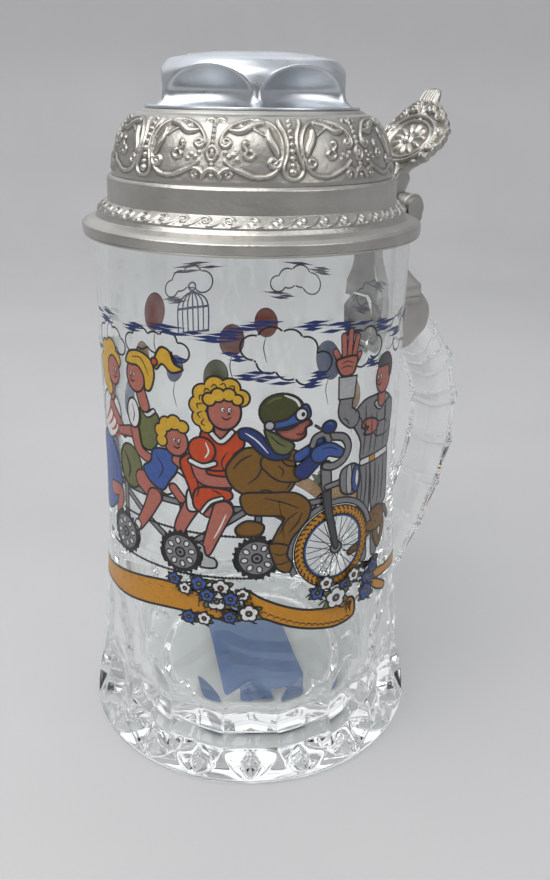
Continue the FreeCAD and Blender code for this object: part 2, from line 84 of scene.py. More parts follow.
def rounded(corners, step, closed=False):
    """Points along a polyline whose corners (x, y, radius) are rounded off."""
    points = [np.array(c[:2], float) for c in corners]
    count = len(points)
    out = []
    for i, corner in enumerate(corners):
        radius = corner[2] if len(corner) > 2 else 0
        inner = closed or 0 < i < count - 1
        if not radius or not inner:
            out.append(points[i])
            continue
        back = points[i - 1] - points[i]
        ahead = points[(i + 1) % count] - points[i]
        room = 0.49 * min(np.linalg.norm(back), np.linalg.norm(ahead))
        back, ahead = back / np.linalg.norm(back), ahead / np.linalg.norm(ahead)
        half = math.acos(np.clip(back @ ahead, -1, 1)) / 2
        reach = min(radius / math.tan(half), room)
        radius = reach * math.tan(half)
        middle = points[i] + (back + ahead) / np.linalg.norm(back + ahead) * radius / math.sin(half)
        a, b = points[i] + back * reach - middle, points[i] + ahead * reach - middle
        turn = math.atan2(a[0] * b[1] - a[1] * b[0], a @ b)
        steps = max(3, math.ceil(abs(turn) * radius / step))
        for k in range(steps + 1):
            c, s = math.cos(turn * k / steps), math.sin(turn * k / steps)
            out.append(middle + np.array([c * a[0] - s * a[1], s * a[0] + c * a[1]]))
    if closed:
        out.append(out[0])
    fine = [out[0]]
    for a, b in zip(out, out[1:]):
        parts = max(1, math.ceil(np.linalg.norm(b - a) / step))
        fine += [a + (b - a) * k / parts for k in range(1, parts + 1)]
    return np.array(fine[:-1] if closed else fine)


def smooth_min(a, b, blend):
    """The lower of a and b, with the crease between them rounded over blend."""
    near = np.clip(0.5 + 0.5 * (b - a) / blend, 0, 1)
    return b + (a - b) * near - blend * near * (1 - near)


def new_object(name, vertices, faces, body=None):
    """A smooth-shaded mesh object from millimetre vertices, which may ride on a body."""
    mesh = bpy.data.meshes.new(name)
    mesh.from_pydata((np.asarray(vertices) * MM).tolist(), [], [list(map(int, f)) for f in faces])
    mesh.validate()
    tidy = bmesh.new()
    tidy.from_mesh(mesh)
    bmesh.ops.recalc_face_normals(tidy, faces=tidy.faces)
    tidy.to_mesh(mesh)
    tidy.free()
    mesh.shade_smooth()
    item = bpy.data.objects.new(name, mesh)
    bpy.context.scene.collection.objects.link(item)
    if body:
        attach(item, body)
    return item


def ring_faces(rows, columns, closed=False):
    """Quads between rings of vertices; the first and last ring get an end face, or meet if closed."""
    i = np.arange(rows if closed else rows - 1)[:, None]
    j = np.arange(columns)[None, :]
    i2, j2 = (i + 1) % rows, (j + 1) % columns
    quads = np.stack([i * columns + j, i * columns + j2, i2 * columns + j2, i2 * columns + j], -1)
    ends = [] if closed else [list(range(columns)), list(range((rows - 1) * columns, rows * columns))]
    return quads.reshape(-1, 4).tolist() + ends


def turned(radius, height):
    """Vertices of rings about the axis, from their radius and height at each column."""
    phi = np.arange(radius.shape[1]) * TAU / radius.shape[1]
    return np.stack([radius * np.cos(phi), radius * np.sin(phi), height], -1).reshape(-1, 3)


def lathe(name, outline, columns, shape=None, closed=False, body=None):
    """An outline of (radius, height) turned about the axis.

    shape(phi, radius, height) may give an offset along the outline's normal.
    """
    outline = np.asarray(outline)
    rows = len(outline)
    ahead = np.roll(outline, -1, 0) - np.roll(outline, 1, 0)
    if not closed:
        ahead[0], ahead[-1] = outline[1] - outline[0], outline[-1] - outline[-2]
    normal = np.stack([ahead[:, 1], -ahead[:, 0]], -1)
    normal /= np.linalg.norm(normal, axis=1, keepdims=True) + 1e-9
    phi = np.arange(columns) * TAU / columns
    radius = np.repeat(outline[:, :1], columns, 1)
    height = np.repeat(outline[:, 1:], columns, 1)
    if shape:
        lift = shape(np.repeat(phi[None], rows, 0), radius, height)
        radius = radius + lift * normal[:, :1]
        height = height + lift * normal[:, 1:]
    return new_object(name, turned(radius, height), ring_faces(rows, columns, closed), body)


def set_heights(item, name, values):
    """Store one number per vertex, which a material can read."""
    field = item.data.attributes.new(name, "FLOAT", "POINT")
    field.data.foreach_set("value", np.asarray(values, np.float32).ravel())


class Shader:
    """A material being built: a Principled shader and the nodes that feed it."""

    def __init__(self, name, **sockets):
        self.material = bpy.data.materials.new(name)
        self.material.use_nodes = True
        self.tree = self.material.node_tree
        self.main = self.tree.nodes["Principled BSDF"]
        for key, value in sockets.items():
            self.main.inputs[key.replace("_", " ")].default_value = value

    def node(self, kind, inputs=(), **settings):
        made = self.tree.nodes.new(f"ShaderNode{kind}")
        for key, value in settings.items():
            setattr(made, key, value)
        for key, value in dict(inputs).items():
            if isinstance(value, bpy.types.NodeSocket):
                self.tree.links.new(value, made.inputs[key])
            else:
                made.inputs[key].default_value = value
        return made

    def noise(self, scale, detail=4.0, seed=0.0):
        """Noise over the object's own coordinates; scale is features per metre."""
        where = self.node("TexCoord").outputs["Object"]
        sockets = {"Vector": where, "Scale": scale, "Detail": detail, "W": seed}
        return self.node("TexNoise", sockets, noise_dimensions="4D").outputs["Fac"]

    def ramp(self, value, *stops):
        """A colour or grey ramp through (position, colour) stops."""
        made = self.node("ValToRGB", {"Fac": value})
        band = made.color_ramp
        while len(band.elements) < len(stops):
            band.elements.new(0.5)
        for element, (position, colour) in zip(band.elements, stops):
            element.position = position
            element.color = (*colour, 1) if len(colour) == 3 else (colour[0],) * 3 + (1,)
        return made.outputs["Color"]

    def mix(self, factor, colour, other):
        """From a colour socket to another colour, as far as the factor socket says."""
        return self.node("Mix", {0: factor, 6: colour, 7: (*other, 1)}, data_type="RGBA").outputs[2]

    def feed(self, socket, value):
        self.tree.links.new(value, self.main.inputs[socket])
        return self

    def bump(self, height, strength, distance):
        made = self.node("Bump", {"Height": height, "Strength": strength, "Distance": distance})
        return self.feed("Normal", made.outputs[0])


def paint(item, shader):
    """Give an object one material in place of what it has."""
    item.data.materials.clear()
    item.data.materials.append(shader.material)


# --- materials --------------------------------------------------------------------

def glass_material():
    """Clear glass whose shadow is only a light veil, so that light reaches what is behind it."""
    made = Shader("clear_glass", Base_Color=(0.97, 0.985, 0.98, 1), Roughness=0.01, IOR=1.5)
    made.main.inputs["Transmission Weight"].default_value = 1.0
    made.bump(made.noise(38.0, 2.0), 0.10, 0.001)
    veil = made.node("BsdfTransparent", {"Color": (0.90, 0.92, 0.92, 1)})
    mixed = made.node("MixShader", {0: made.node("LightPath").outputs["Is Shadow Ray"]})
    made.tree.links.new(made.main.outputs[0], mixed.inputs[1])
    made.tree.links.new(veil.outputs[0], mixed.inputs[2])
    made.tree.links.new(mixed.outputs[0], made.tree.nodes["Material Output"].inputs["Surface"])
    return made


PEWTER = (0.37, 0.36, 0.335), (0.57, 0.555, 0.525)
STEEL = (0.46, 0.46, 0.48), (0.58, 0.58, 0.60)
TARNISH = (0.20, 0.175, 0.145)


def cast_material(name, tones, grain=900.0, relief=False):
    """Satin metal: cloudy tone, fine casting grain, and tarnished hollows where there is relief."""
    made = Shader(name, Metallic=1.0)
    dark, light = tones
    colour = made.ramp(made.noise(60.0, 6.0), (0.25, dark), (0.7, light))
    if relief:
        height = made.node("Attribute", attribute_name="relief").outputs["Fac"]
        hollow = made.ramp(height, (0.05, (0.85,)), (0.42, (0.187,)), (0.62, (0.0,)))
        colour = made.mix(hollow, colour, TARNISH)
    made.feed("Base Color", colour)
    made.feed("Roughness", made.ramp(made.noise(240.0, 5.0, seed=3.0), (0.2, (0.30,)), (0.8, (0.46,))))
    return made.bump(made.noise(grain, 3.0, seed=7.0), 0.5 if relief else 0.16, 0.0002)


def knob_material():
    """The knob's bluer, smoother silver."""
    made = Shader("knob_silver_satin", Metallic=1.0)
    made.feed("Base Color", made.ramp(made.noise(80.0, 5.0), (0.3, (0.52, 0.55, 0.585)),
                                      (0.7, (0.68, 0.71, 0.75))))
    made.feed("Roughness", made.ramp(made.noise(500.0, 4.0, seed=2.0), (0.3, (0.27,)), (0.8, (0.38,))))
    return made.bump(made.noise(1400.0, 3.0, seed=5.0), 0.08, 0.0001)


# --- glass body with its fused handle ----------------------------------------------

def outer_radius(z):
    """Radius of the uncut outer wall: straight above FLARE_TOP, an arc below it."""
    drop = FLARE_TOP - FOOT_EDGE
    spread = FOOT_RADIUS - BODY_RADIUS
    arc = (drop**2 + spread**2) / (2 * spread)
    below = np.clip(FLARE_TOP - np.asarray(z, float), 0, None)
    return BODY_RADIUS + arc - np.sqrt(arc**2 - below**2)


def foot_cuts(phi, radius, height):
    """Depth of the lens-shaped scoops round the foot and of the petals beneath it."""
    pitch = TAU / SCOOPS
    off = (phi % pitch) - pitch / 2
    # each scoop is the cut of a blunt-nosed wheel, which stands a little askew to the upright
    scoop_depth, scoop_ring, scoop_height, lean = 3.1, 47.3, 17.5, math.radians(7.8)
    wheel_radius, nose, flank_slope, wall_arc = 36.0, 1.2, math.tan(math.radians(13.5)), 530.0
    across, along = off * scoop_ring, (height - scoop_height) / math.cos(lean)
    flank = np.clip(np.abs(across) - nose, 0, None) * flank_slope
    blunt = np.minimum(np.abs(across), nose) ** 2 / 10.0
    wheel = -scoop_depth + blunt + flank + along**2 / (2 * wheel_radius)
    wall = -across**2 / (2 * scoop_ring) + along**2 / (2 * wall_arc)
    scoop = smooth_min(wheel - wall, np.zeros_like(wheel), 0.16)
    outside = (radius > 44.0) & (height > 1.0) & (height < 36.0)
    # a petal is a pointed groove that runs outward under the foot
    petal_ring, petal_reach, petal_half, petal_depth = 39.5, 6.5, 3.4, 1.9
    taper = np.clip(1 - ((radius - petal_ring) / petal_reach) ** 2, 0, None)
    spread = np.abs(off) * radius
    petal = -petal_depth * taper * np.clip(1 - spread / (petal_half * taper + 1e-6), 0, 1)
    under = (height < 0.4) & (radius < petal_ring + petal_reach + 0.5)
    return np.where(outside, scoop, 0) + np.where(under, petal, 0)


def glass_outline():
    """The closed section of the mug wall, from the recess round to the inner floor."""
    recess = rounded([(0.3, RECESS_ROOF), (28.0, RECESS_ROOF, 1.5), (31.2, 0.0, 1.0), (47.6, 0.0)], 0.8)
    edge = [(FOOT_RADIUS - FOOT_EDGE * (1 - math.sin(a)), FOOT_EDGE * (1 - math.cos(a)))
            for a in np.linspace(0, math.pi / 2, 6)]
    heights = np.concatenate([np.arange(2.1, 36.0, 0.5), np.arange(37.0, FLARE_TOP, 5.0)])
    flare = [(outer_radius(z), z) for z in heights]
    inner, lip = BODY_RADIUS - WALL, RIM_HEIGHT - 6
    rim = rounded([(BODY_RADIUS, FLARE_TOP), (BODY_RADIUS, RIM_HEIGHT, 1.5),
                   (inner, RIM_HEIGHT, 1.5), (inner, lip)], 0.6)
    rim = rim[(rim[:, 1] > lip - 0.1) | (np.arange(len(rim)) % 12 == 0)]
    cup = [(inner, z) for z in (130, 110, 90, 70, 50, 35)]
    floor = rounded([(inner, 30.0), (inner, FLOOR_HEIGHT, 6.5), (0.3, FLOOR_HEIGHT - 0.4)], 1.5)
    return np.concatenate([recess, edge, flare, rim, cup, floor])


HANDLE_PATH = [(40.3, 117.0), (55.0, 114.5), (63.5, 107.5), (70.8, 98.0), (74.8, 85.0),
               (74.6, 70.0), (70.3, 56.0), (63.8, 42.5), (55.5, 31.0), (39.5, 17.7)]
HANDLE_SECTION = [(4.0, 7.0, 2.0), (8.2, 2.5, 2.5), (7.5, -5.0, 1.5), (5.5, -7.0, 1.0)]
RIDGE_STEP, PANEL_HOLLOW = 0.045, 0.04    # shares of the section's size
PANEL_STEPS = [0, 0.035, 0.07, 0.14, 0.25, 0.42, 0.58, 0.75, 0.86, 0.93, 0.965, 1]


def handle_mesh():
    """The faceted bar: panels that lie between mitred ridges and are slightly scooped."""
    left = [(-y, u, r) for y, u, r in reversed(HANDLE_SECTION)]
    section = rounded(HANDLE_SECTION + left, 0.9, closed=True)
    path = np.array(HANDLE_PATH)
    leg = np.diff(path, axis=0)
    leg /= np.linalg.norm(leg, axis=1, keepdims=True)
    outward = np.stack([-leg[:, 1], leg[:, 0]], -1)
    mitre = np.vstack([outward[:1], outward[:-1] + outward[1:], outward[-1:]])
    mitre /= (mitre * np.vstack([outward, outward[-1:]])).sum(1, keepdims=True)
    rings = []
    for i in range(len(leg)):
        for t in PANEL_STEPS[(i > 0):]:
            lip = min(1, min(t, 1 - t) / PANEL_STEPS[2])
            size = 1 - RIDGE_STEP * lip**2 * (3 - 2 * lip) - PANEL_HOLLOW * math.sin(math.pi * t)
            centre = path[i] * (1 - t) + path[i + 1] * t
            across = mitre[i] * (1 - t) + mitre[i + 1] * t
            ring = np.empty((len(section), 3))
            ring[:, 0] = centre[0] + across[0] * section[:, 1] * size
            ring[:, 1] = section[:, 0] * size
            ring[:, 2] = centre[1] + across[1] * section[:, 1] * size
            rings.append(ring)
    points = np.array(rings)
    # both ends stay inside the wall, which is WALL thick
    reach = np.hypot(points[..., 0], points[..., 1])
    push = np.maximum(reach, BODY_RADIUS - 1.9) / reach
    points[..., :2] *= push[..., None]
    return new_object("handle_bar", points.reshape(-1, 3), ring_faces(len(rings), len(section)))


def glass():
    """The mug and its handle as one fused piece."""
    mug = lathe("glass_mug", glass_outline(), SCOOPS * 32, foot_cuts, body="mug")
    bar = handle_mesh()
    join = mug.modifiers.new("fused_handle", "BOOLEAN")
    join.operation = "UNION"
    join.solver = "MANIFOLD"
    join.object = bar
    shape = bpy.data.meshes.new_from_object(mug.evaluated_get(bpy.context.evaluated_depsgraph_get()))
    mug.modifiers.clear()
    mug.data = shape
    shape.shade_smooth()
    bpy.data.objects.remove(bar)
    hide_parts("glass_body", "glass_handle")
    paint(mug, glass_material())


# --- relief strokes -------------------------------------------------------------------

def curve(points, count=40):
    """A smooth line through points, as Catmull-Rom."""
    p = np.array([points[0], *points, points[-1]], float)
    out = []
    for i in range(1, len(p) - 2):
        for t in np.linspace(0, 1, count, endpoint=False):
            a, b, c, d = p[i - 1 : i + 3]
            out.append(0.5 * (2 * b + (c - a) * t + (2 * a - 5 * b + 4 * c - d) * t**2
                              + (3 * b - a - 3 * c + d) * t**3))
    return np.array(out + [p[-1]])


def spiral(centre, radius, start, turns, tail=0.25):
    """A curl from its outer end at the angle start, winding in about centre."""
    t = np.linspace(0, 1, 60)
    angle = math.radians(start) + t * turns * TAU
    reach = radius * (1 - (1 - tail) * t)
    return np.stack([centre[0] + reach * np.cos(angle), centre[1] + reach * np.sin(angle)], -1)


def raised(field, grid, line, width, height, taper=False):
    """Raise a round-topped cord of a width along a line."""
    widths = np.full(len(line), width)
    if taper:
        widths = width * np.sin(np.linspace(0.12, 0.95, len(line)) * math.pi) ** 0.7
    best = np.full(field.shape, -1.0)
    for (x, y), w in zip(line, widths):
        away = ((grid[0] - x) ** 2 + (grid[1] - y) ** 2) / w**2
        best = np.maximum(best, 1 - away)
    np.maximum(field, height * np.sqrt(np.clip(best, 0, 1)), out=field)


# --- enamel picture on the wall ---------------------------------------------------------

PALETTE = {
    "black": (0.010, 0.010, 0.012), "white": (0.66, 0.67, 0.67), "pale": (0.38, 0.39, 0.40),
    "grey": (0.19, 0.19, 0.195), "dark": (0.055, 0.055, 0.06), "navy": (0.012, 0.028, 0.15),
    "blue": (0.035, 0.085, 0.30), "ochre": (0.17, 0.078, 0.005), "gold": (0.50, 0.215, 0.008),
    "blond": (0.56, 0.33, 0.02), "orange": (0.46, 0.05, 0.006), "skin": (0.38, 0.115, 0.085),
    "olive": (0.045, 0.05, 0.008), "leaf": (0.12, 0.13, 0.04),
}
PRINT_LOW, PRINT_CELLS, CELL = (-66.0, 35.0), (1100, 440), 0.25    # the area of the print
PRINT_STEP = 1.5          # the print is bent in flat strips of this width
COAT = 0.007              # thickness of a coat of enamel


def ellipse(u, z, wide, tall=None, turn=0.0, count=26):
    """Points round an ellipse, turned anticlockwise by some degrees."""
    a = np.arange(count) * TAU / count
    x, y = wide * np.cos(a), (tall or wide) * np.sin(a)
    c, s = math.cos(math.radians(turn)), math.sin(math.radians(turn))
    return np.stack([u + c * x - s * y, z + s * x + c * y], -1)


def loop(points, count=5):
    """A smooth closed line through points."""
    p = [tuple(q) for q in points]
    return curve(p[-2:] + p + p[:2], count)[count * 2 : count * (len(p) + 2)]


def about(u, z, reach, angle, squash=1.0):
    """The point at a reach and angle from (u, z)."""
    return u + reach * math.cos(angle), z + reach * squash * math.sin(angle)


class Enamel:
    """Flat coloured shapes: u runs round the wall from its front, z is the height.

    Each shape is laid one coat above all that it covers, as in a print.
    """

    def __init__(self):
        self.flat = bmesh.new()
        self.coats = np.zeros(PRINT_CELLS, int)

    def cells(self, outline):
        """The cells of the print that an outline touches; all of its box, for a small one."""
        spot = (outline - PRINT_LOW) / CELL
        low, high = np.floor(spot.min(0)).astype(int) - 1, np.ceil(spot.max(0)).astype(int) + 1
        x, y = np.mgrid[low[0] : high[0] + 1, low[1] : high[1] + 1]
        if len(outline) > 8:
            inside = np.zeros(x.shape, bool)
            for (x1, y1), (x2, y2) in zip(spot, np.roll(spot, -1, 0)):
                crossing = (y1 > y) != (y2 > y)
                inside ^= crossing & (x < (x2 - x1) * (y - y1) / (y2 - y1 + 1e-12) + x1)
                steps = np.linspace(0, 1, int(math.dist((x1, y1), (x2, y2))) + 2)
                for shift in ((0, 0), (1, 0), (0, 1), (1, 1)):
                    inside[np.floor(x1 + (x2 - x1) * steps).astype(int) - low[0] + shift[0],
                           np.floor(y1 + (y2 - y1) * steps).astype(int) - low[1] + shift[1]] = True
            x, y = x[inside], y[inside]
        return np.clip(x.ravel(), 0, PRINT_CELLS[0] - 1), np.clip(y.ravel(), 0, PRINT_CELLS[1] - 1)

    def lay(self, colour, outlines):
        """Lay outlines in one colour, the larger ones each a little above the one before."""
        touched = [self.cells(np.asarray(outline, float)) for outline in outlines]
        coat = max(self.coats[t].max() for t in touched) + 1
        for outline, t in zip(outlines, touched):
            if len(outline) > 8:
                coat += 0.4
            self.coats[t] = math.ceil(coat)
            corners = [self.flat.verts.new((u, coat, z)) for u, z in outline]
            self.flat.faces.new(corners).material_index = list(PALETTE).index(colour)

    def band(self, points, width, closed=False):
        """The quads of a stroke along points; width is one number or one for each point."""
        p = np.asarray(points, float)
        ahead = np.roll(p, -1, 0) - np.roll(p, 1, 0)
        if not closed:
            ahead[0], ahead[-1] = p[1] - p[0], p[-1] - p[-2]
        side = np.stack([-ahead[:, 1], ahead[:, 0]], -1)
        length = np.linalg.norm(side, axis=1)[:, None] + 1e-9
        side *= 0.5 * np.broadcast_to(width, len(p))[:, None] / length
        left, right = p + side, p - side
        after = [(i + 1) % len(p) for i in range(len(p) - (not closed))]
        return [(left[i], left[j], right[j], right[i]) for i, j in enumerate(after)]

    def line(self, points, width=0.5, colour="black", closed=False):
        self.lay(colour, self.band(points, width, closed))

    def stroke(self, points, width=0.5, colour="black", count=6):
        """A stroke along a smooth line that thins at both ends."""
        path = curve(points, count)
        self.line(path, width * np.sin(np.linspace(0.12, 0.88, len(path)) * math.pi), colour)

    def patch(self, colour, points, edge=0.62, smooth=True):
        """A filled shape with a black edge."""
        outline = loop(points) if smooth else np.asarray(points, float)
        self.lay(colour, [outline])
        if edge:
            self.line(outline, edge, closed=True)

    def disc(self, colour, u, z, wide, tall=None, turn=0.0, edge=0.58):
        self.patch(colour, ellipse(u, z, wide, tall, turn), edge, smooth=False)

    def tube(self, colour, points, width, edge=0.52):
        """A round-ended band along a smooth line, edged in black."""
        path = curve(points, 6)
        wide = np.linspace(*width, len(path)) if isinstance(width, tuple) else np.full(len(path), width)
        for tone, extra in (("black", edge * 2), (colour, 0.0)):
            ends = [ellipse(*path[end], (wide[end] + extra) / 2) for end in (0, -1)]
            self.lay(tone, self.band(path, wide + extra) + ends)

    def cluster(self, colour, lobes, edge=0.52):
        """Discs (u, z, radius) that join into one shape with a black edge."""
        for tone, extra in (("black", edge), (colour, 0.0)):
            self.lay(tone, [ellipse(u, z, radius + extra) for u, z, radius in lobes])

    def cloud(self, lobes):
        """The outline round discs (u, z, radius) that overlap, with what is behind left clear."""
        pieces, count = [], 60
        for own in lobes:
            ring = ellipse(*own, count=count)
            others = [lobe for lobe in lobes if lobe is not own]
            free = [all(math.dist(p, (u, z)) > radius for u, z, radius in others) for p in ring]
            for i in range(count):
                if free[i] and free[(i + 1) % count]:
                    pieces += self.band([ring[i], ring[(i + 1) % count]], 0.5)
        self.lay("black", pieces)

    def streaks(self, u, z, count, length, rng):
        """Long thin brush marks of a windy sky, one under another."""
        for k in range(count):
            long = length * rng.uniform(0.45, 1.0)
            start = u + rng.uniform(-0.3, 0.3) * length
            y = z - k * 0.78
            self.lay("navy", [[(start, y), (start + long * 0.4, y + 0.56), (start + long, y + 0.1),
                               (start + long * 0.5, y - 0.44)]])
            self.lay("black", [[(start - long * 0.2, y + 0.1), (start + long * 0.4, y + 0.2),
                                (start + long * 1.15, y + 0.3), (start + long * 0.4, y + 0.05)]])

    def finish(self):
        """Wrap the flat shapes round the wall as one mesh, in steps that keep them apart."""
        bmesh.ops.triangulate(self.flat, faces=self.flat.faces[:], ngon_method="EAR_CLIP")
        reach = np.array([v.co for v in self.flat.verts])
        station = 5.0
        for axis, step in ((0, PRINT_STEP), (2, station)):
            first, last = reach[:, axis].min() // step + 1, reach[:, axis].max() // step
            normal = [float(axis == i) for i in range(3)]
            for k in np.arange(first, last + 1):
                everything = self.flat.verts[:] + self.flat.edges[:] + self.flat.faces[:]
                bmesh.ops.bisect_plane(self.flat, geom=everything, dist=1e-6,
                                       plane_co=[k * step * n for n in normal], plane_no=normal)
        mesh = bpy.data.meshes.new("enamel_picture")
        self.flat.to_mesh(mesh)
        self.flat.free()
        flat = np.empty(len(mesh.vertices) * 3)
        mesh.vertices.foreach_get("co", flat)
        u, coat, z = flat.reshape(-1, 3).T
        strip = np.floor(u / PRINT_STEP + 1e-9)
        part = u / PRINT_STEP - strip
        stations = np.arange(0, 160, station)
        radius = np.interp(z, stations, outer_radius(stations)) + 0.03 + coat * COAT
        a = math.radians(FRONT) + strip * PRINT_STEP / BODY_RADIUS
        b = math.radians(FRONT) + (strip + 1) * PRINT_STEP / BODY_RADIUS
        x, y = ((1 - part) * f(a) + part * f(b) for f in (np.cos, np.sin))
        points = np.stack([radius * x, radius * y, z], -1) * MM
        mesh.vertices.foreach_set("co", points.ravel())
        mesh.update()
        item = bpy.data.objects.new("enamel_picture", mesh)
        bpy.context.scene.collection.objects.link(item)
        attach(item, "mug")
        for name, colour in PALETTE.items():
            enamel = Shader(f"enamel_{name}", Roughness=0.32)
            thin = tuple(0.8 * c for c in colour)
            enamel.feed("Base Color", enamel.ramp(enamel.noise(900.0, 4.0), (0.3, thin), (0.65, colour)))
            mesh.materials.append(enamel.material)


def face_marks(art, u, z, size, facing=1):
    """A plain friendly face: two eyes, a small nose and a smile, turned to one side."""
    def at(across, up):
        return u + facing * across * size, z + up * size

    for eye in (-0.2, 0.9):
        art.disc("white", *at(eye, 0.45), 0.34 * size, 0.46 * size, edge=0.18)
        art.disc("black", *at(eye + 0.1, 0.4), 0.14 * size, 0.2 * size, edge=0)
    art.stroke([at(0.55, 0.2), at(0.95, -0.25), at(0.45, -0.35)], 0.32)
    art.stroke([at(-0.5, -0.8), at(0.4, -1.25), at(1.2, -0.75)], 0.4)


def sky(art, rng):
    """Clouds and wind-blown streaks above the riders."""
    for lobes in (
        [(-48, 121, 3.4), (-44.5, 123.2, 3.0), (-40.5, 122.4, 2.6), (-38, 120.6, 2.2)],
        [(-33, 122.8, 2.4), (-29.5, 124.6, 2.8), (-25, 124.2, 2.6), (-21, 125, 2.6), (-17.6, 122.6, 2.4)],
        [(6.5, 123.4, 3.4), (12, 121.6, 3.4), (2.6, 123.4, 2.6), (0.2, 125.0, 3.0), (4.5, 126.6, 3.4),
         (9.0, 126.0, 3.2), (12.8, 124.0, 3.2), (4, 121.6, 3.0), (9, 120.4, 3.6), (13.5, 118.6, 3.4),
         (17.2, 120.4, 2.8)],
        [(30.6, 122.2, 3.2), (28.0, 123.6, 3.2), (31.8, 124.4, 3.0), (34.6, 121.8, 2.8),
         (29.6, 120.2, 2.8)],
        [(47, 121, 3.0), (51, 123, 3.2), (55, 121.4, 2.8)],
    ):
        art.cloud(lobes)
    for u, z, count, length in (
        (-51, 128.2, 4, 12), (-36, 127.6, 3, 9), (-27, 128.6, 3, 12), (-14, 127.8, 3, 11),
        (-4, 131.0, 2, 12), (-6, 123.4, 3, 6), (10, 130.4, 3, 10), (-2, 118.8, 3, 9),
        (11.5, 116.2, 3, 9), (20, 129.4, 3, 13), (33, 128.0, 4, 12), (31, 118.6, 3, 7),
        (41, 124.4, 3, 9), (52, 127, 3, 9), (-58, 118, 3, 9), (2, 117.6, 3, 8),
        (-8, 129.4, 4, 10), (16, 118.0, 3, 7), (24, 128.6, 3, 8), (-46, 119.0, 2, 5),
        (-20, 121.0, 2, 4),
    ):
        art.streaks(u, z, count, length, rng)


def standing_figure(art):
    """Someone in a long belted coat, who greets the riders with a raised hand."""
    for side in (0.0, 5.2):
        art.tube("grey", [(33 + side, 77), (33.2 + side, 62.5)], 2.6)
        art.disc("dark", 33.2 + side, 59.4, 2.6, 1.1)
    art.patch("grey", [(31, 91), (35, 92), (35.4, 83), (35, 75.2), (30.8, 76), (30.4, 84)])
    art.patch("grey", [(35.6, 92), (43.5, 92.5), (45, 84), (44.6, 75.6), (37, 75.4), (36, 84)])
    art.patch("grey", [(25.6, 103.2), (30.5, 107.8), (35, 108.6), (41, 108), (45.4, 104.4), (45.6, 98),
                       (43, 91), (31.6, 91), (30.6, 97), (28, 101.4)])
    art.tube("grey", [(27.2, 104.2), (24.8, 106.4), (25.0, 110.4)], (4.4, 3.6))
    art.patch("pale", [(22.4, 110.2), (27.4, 109.8), (28.0, 115.6), (22.2, 116.0)], smooth=False)
    for k, (top, lean) in enumerate(((122.6, -1.4), (126.2, -0.5), (127.2, 0.3), (125.6, 1.2))):
        art.tube("skin", [(22.4 + 1.35 * k, 120.2), (22.4 + 1.35 * k + lean, top)], 1.25, 0.35)
    art.tube("skin", [(26.8, 118.6), (28.4, 121.0)], 1.25, 0.35)
    art.patch("skin", [(21.6, 120.6), (27.4, 120.8), (27.4, 118), (26.2, 116.2), (23.2, 116.2),
                       (21.6, 118.4)])
    for z in (118.2, 119.4):
        art.stroke([(22.6, z), (24.6, z + 0.4), (26.4, z - 0.3)], 0.3)
    art.tube("grey", [(43.6, 103.5), (43.2, 98.6), (38.4, 98.6)], (4.2, 3.6))
    art.patch("skin", [(38.2, 100.4), (35.4, 102.4), (31.8, 102.8), (30.8, 100.8), (33.6, 100.4),
                       (31.6, 98.8), (36, 98.2)])
    art.tube("white", [(31.6, 91.0), (43.2, 91.0)], 1.4)
    art.patch("gold", [(34.6, 90), (37.2, 90), (37.2, 92), (34.6, 92)], smooth=False)
    for u, top, low in ((32.0, 107, 93), (33.4, 89.6, 78), (34.6, 104, 93), (37.0, 104, 92.6),
                        (37.6, 89.6, 78), (39.6, 88, 76), (41.4, 107, 93), (42.0, 90, 77),
                        (31.6, 88, 77.4)):
        art.stroke([(u, top), (u + 0.4, (top + low) / 2), (u - 0.3, low)], 0.42)
    for u, z in ((24.2, 105), (26.6, 107.6), (29, 104.4), (30.6, 101)):
        art.stroke([(u, z), (u + 1.3, z - 0.9), (u + 1.8, z - 2.2)], 0.4)
    art.tube("pale", [(36.4, 106.2), (38.6, 104.8), (41.6, 106.8)], 1.0)
    art.tube("skin", [(39, 109), (39, 106.6)], 3.2)
    art.disc("skin", 39.2, 113, 3.6, 4.6)
    face_marks(art, 37.6, 112.6, 1.25, -1)
    art.patch("dark", [(36.2, 116.2), (37.4, 118.6), (41, 118.8), (43.4, 116), (43.2, 112.8),
                       (42.2, 112.6), (41.6, 115.4), (39, 115.8)])


def small_dog(art):
    """A small spotted dog that jumps up beside the front wheel."""
    art.tube("ochre", [(40.8, 73.6), (44.4, 73.0), (46.8, 69.6)], (1.8, 0.9))
    for path in ([(41.5, 71.5), (43.2, 68.2), (42.0, 64.6)], [(39.4, 71.0), (39.0, 67.4), (40.6, 63.4)],
                 [(36.0, 71.0), (32.6, 67.4), (28.0, 66.0)]):
        art.tube("ochre", path, (2.6, 1.4))
    art.patch("ochre", [(34.2, 73.4), (37.6, 75.6), (41.6, 75.2), (43.6, 72.2), (42.2, 69), (38.4, 68.6),
                        (34.6, 69.8)])
    art.disc("ochre", 33.6, 73.6, 2.4, 1.9, 30)
    art.tube("black", [(34.6, 75.0), (36.2, 72.6)], 0.9, 0.1)
    for u, z in ((38, 73.6), (40.2, 72.4), (41.6, 73.6), (38.8, 71.0), (36.6, 72.2)):
        art.disc("black", u, z, 0.42, edge=0)


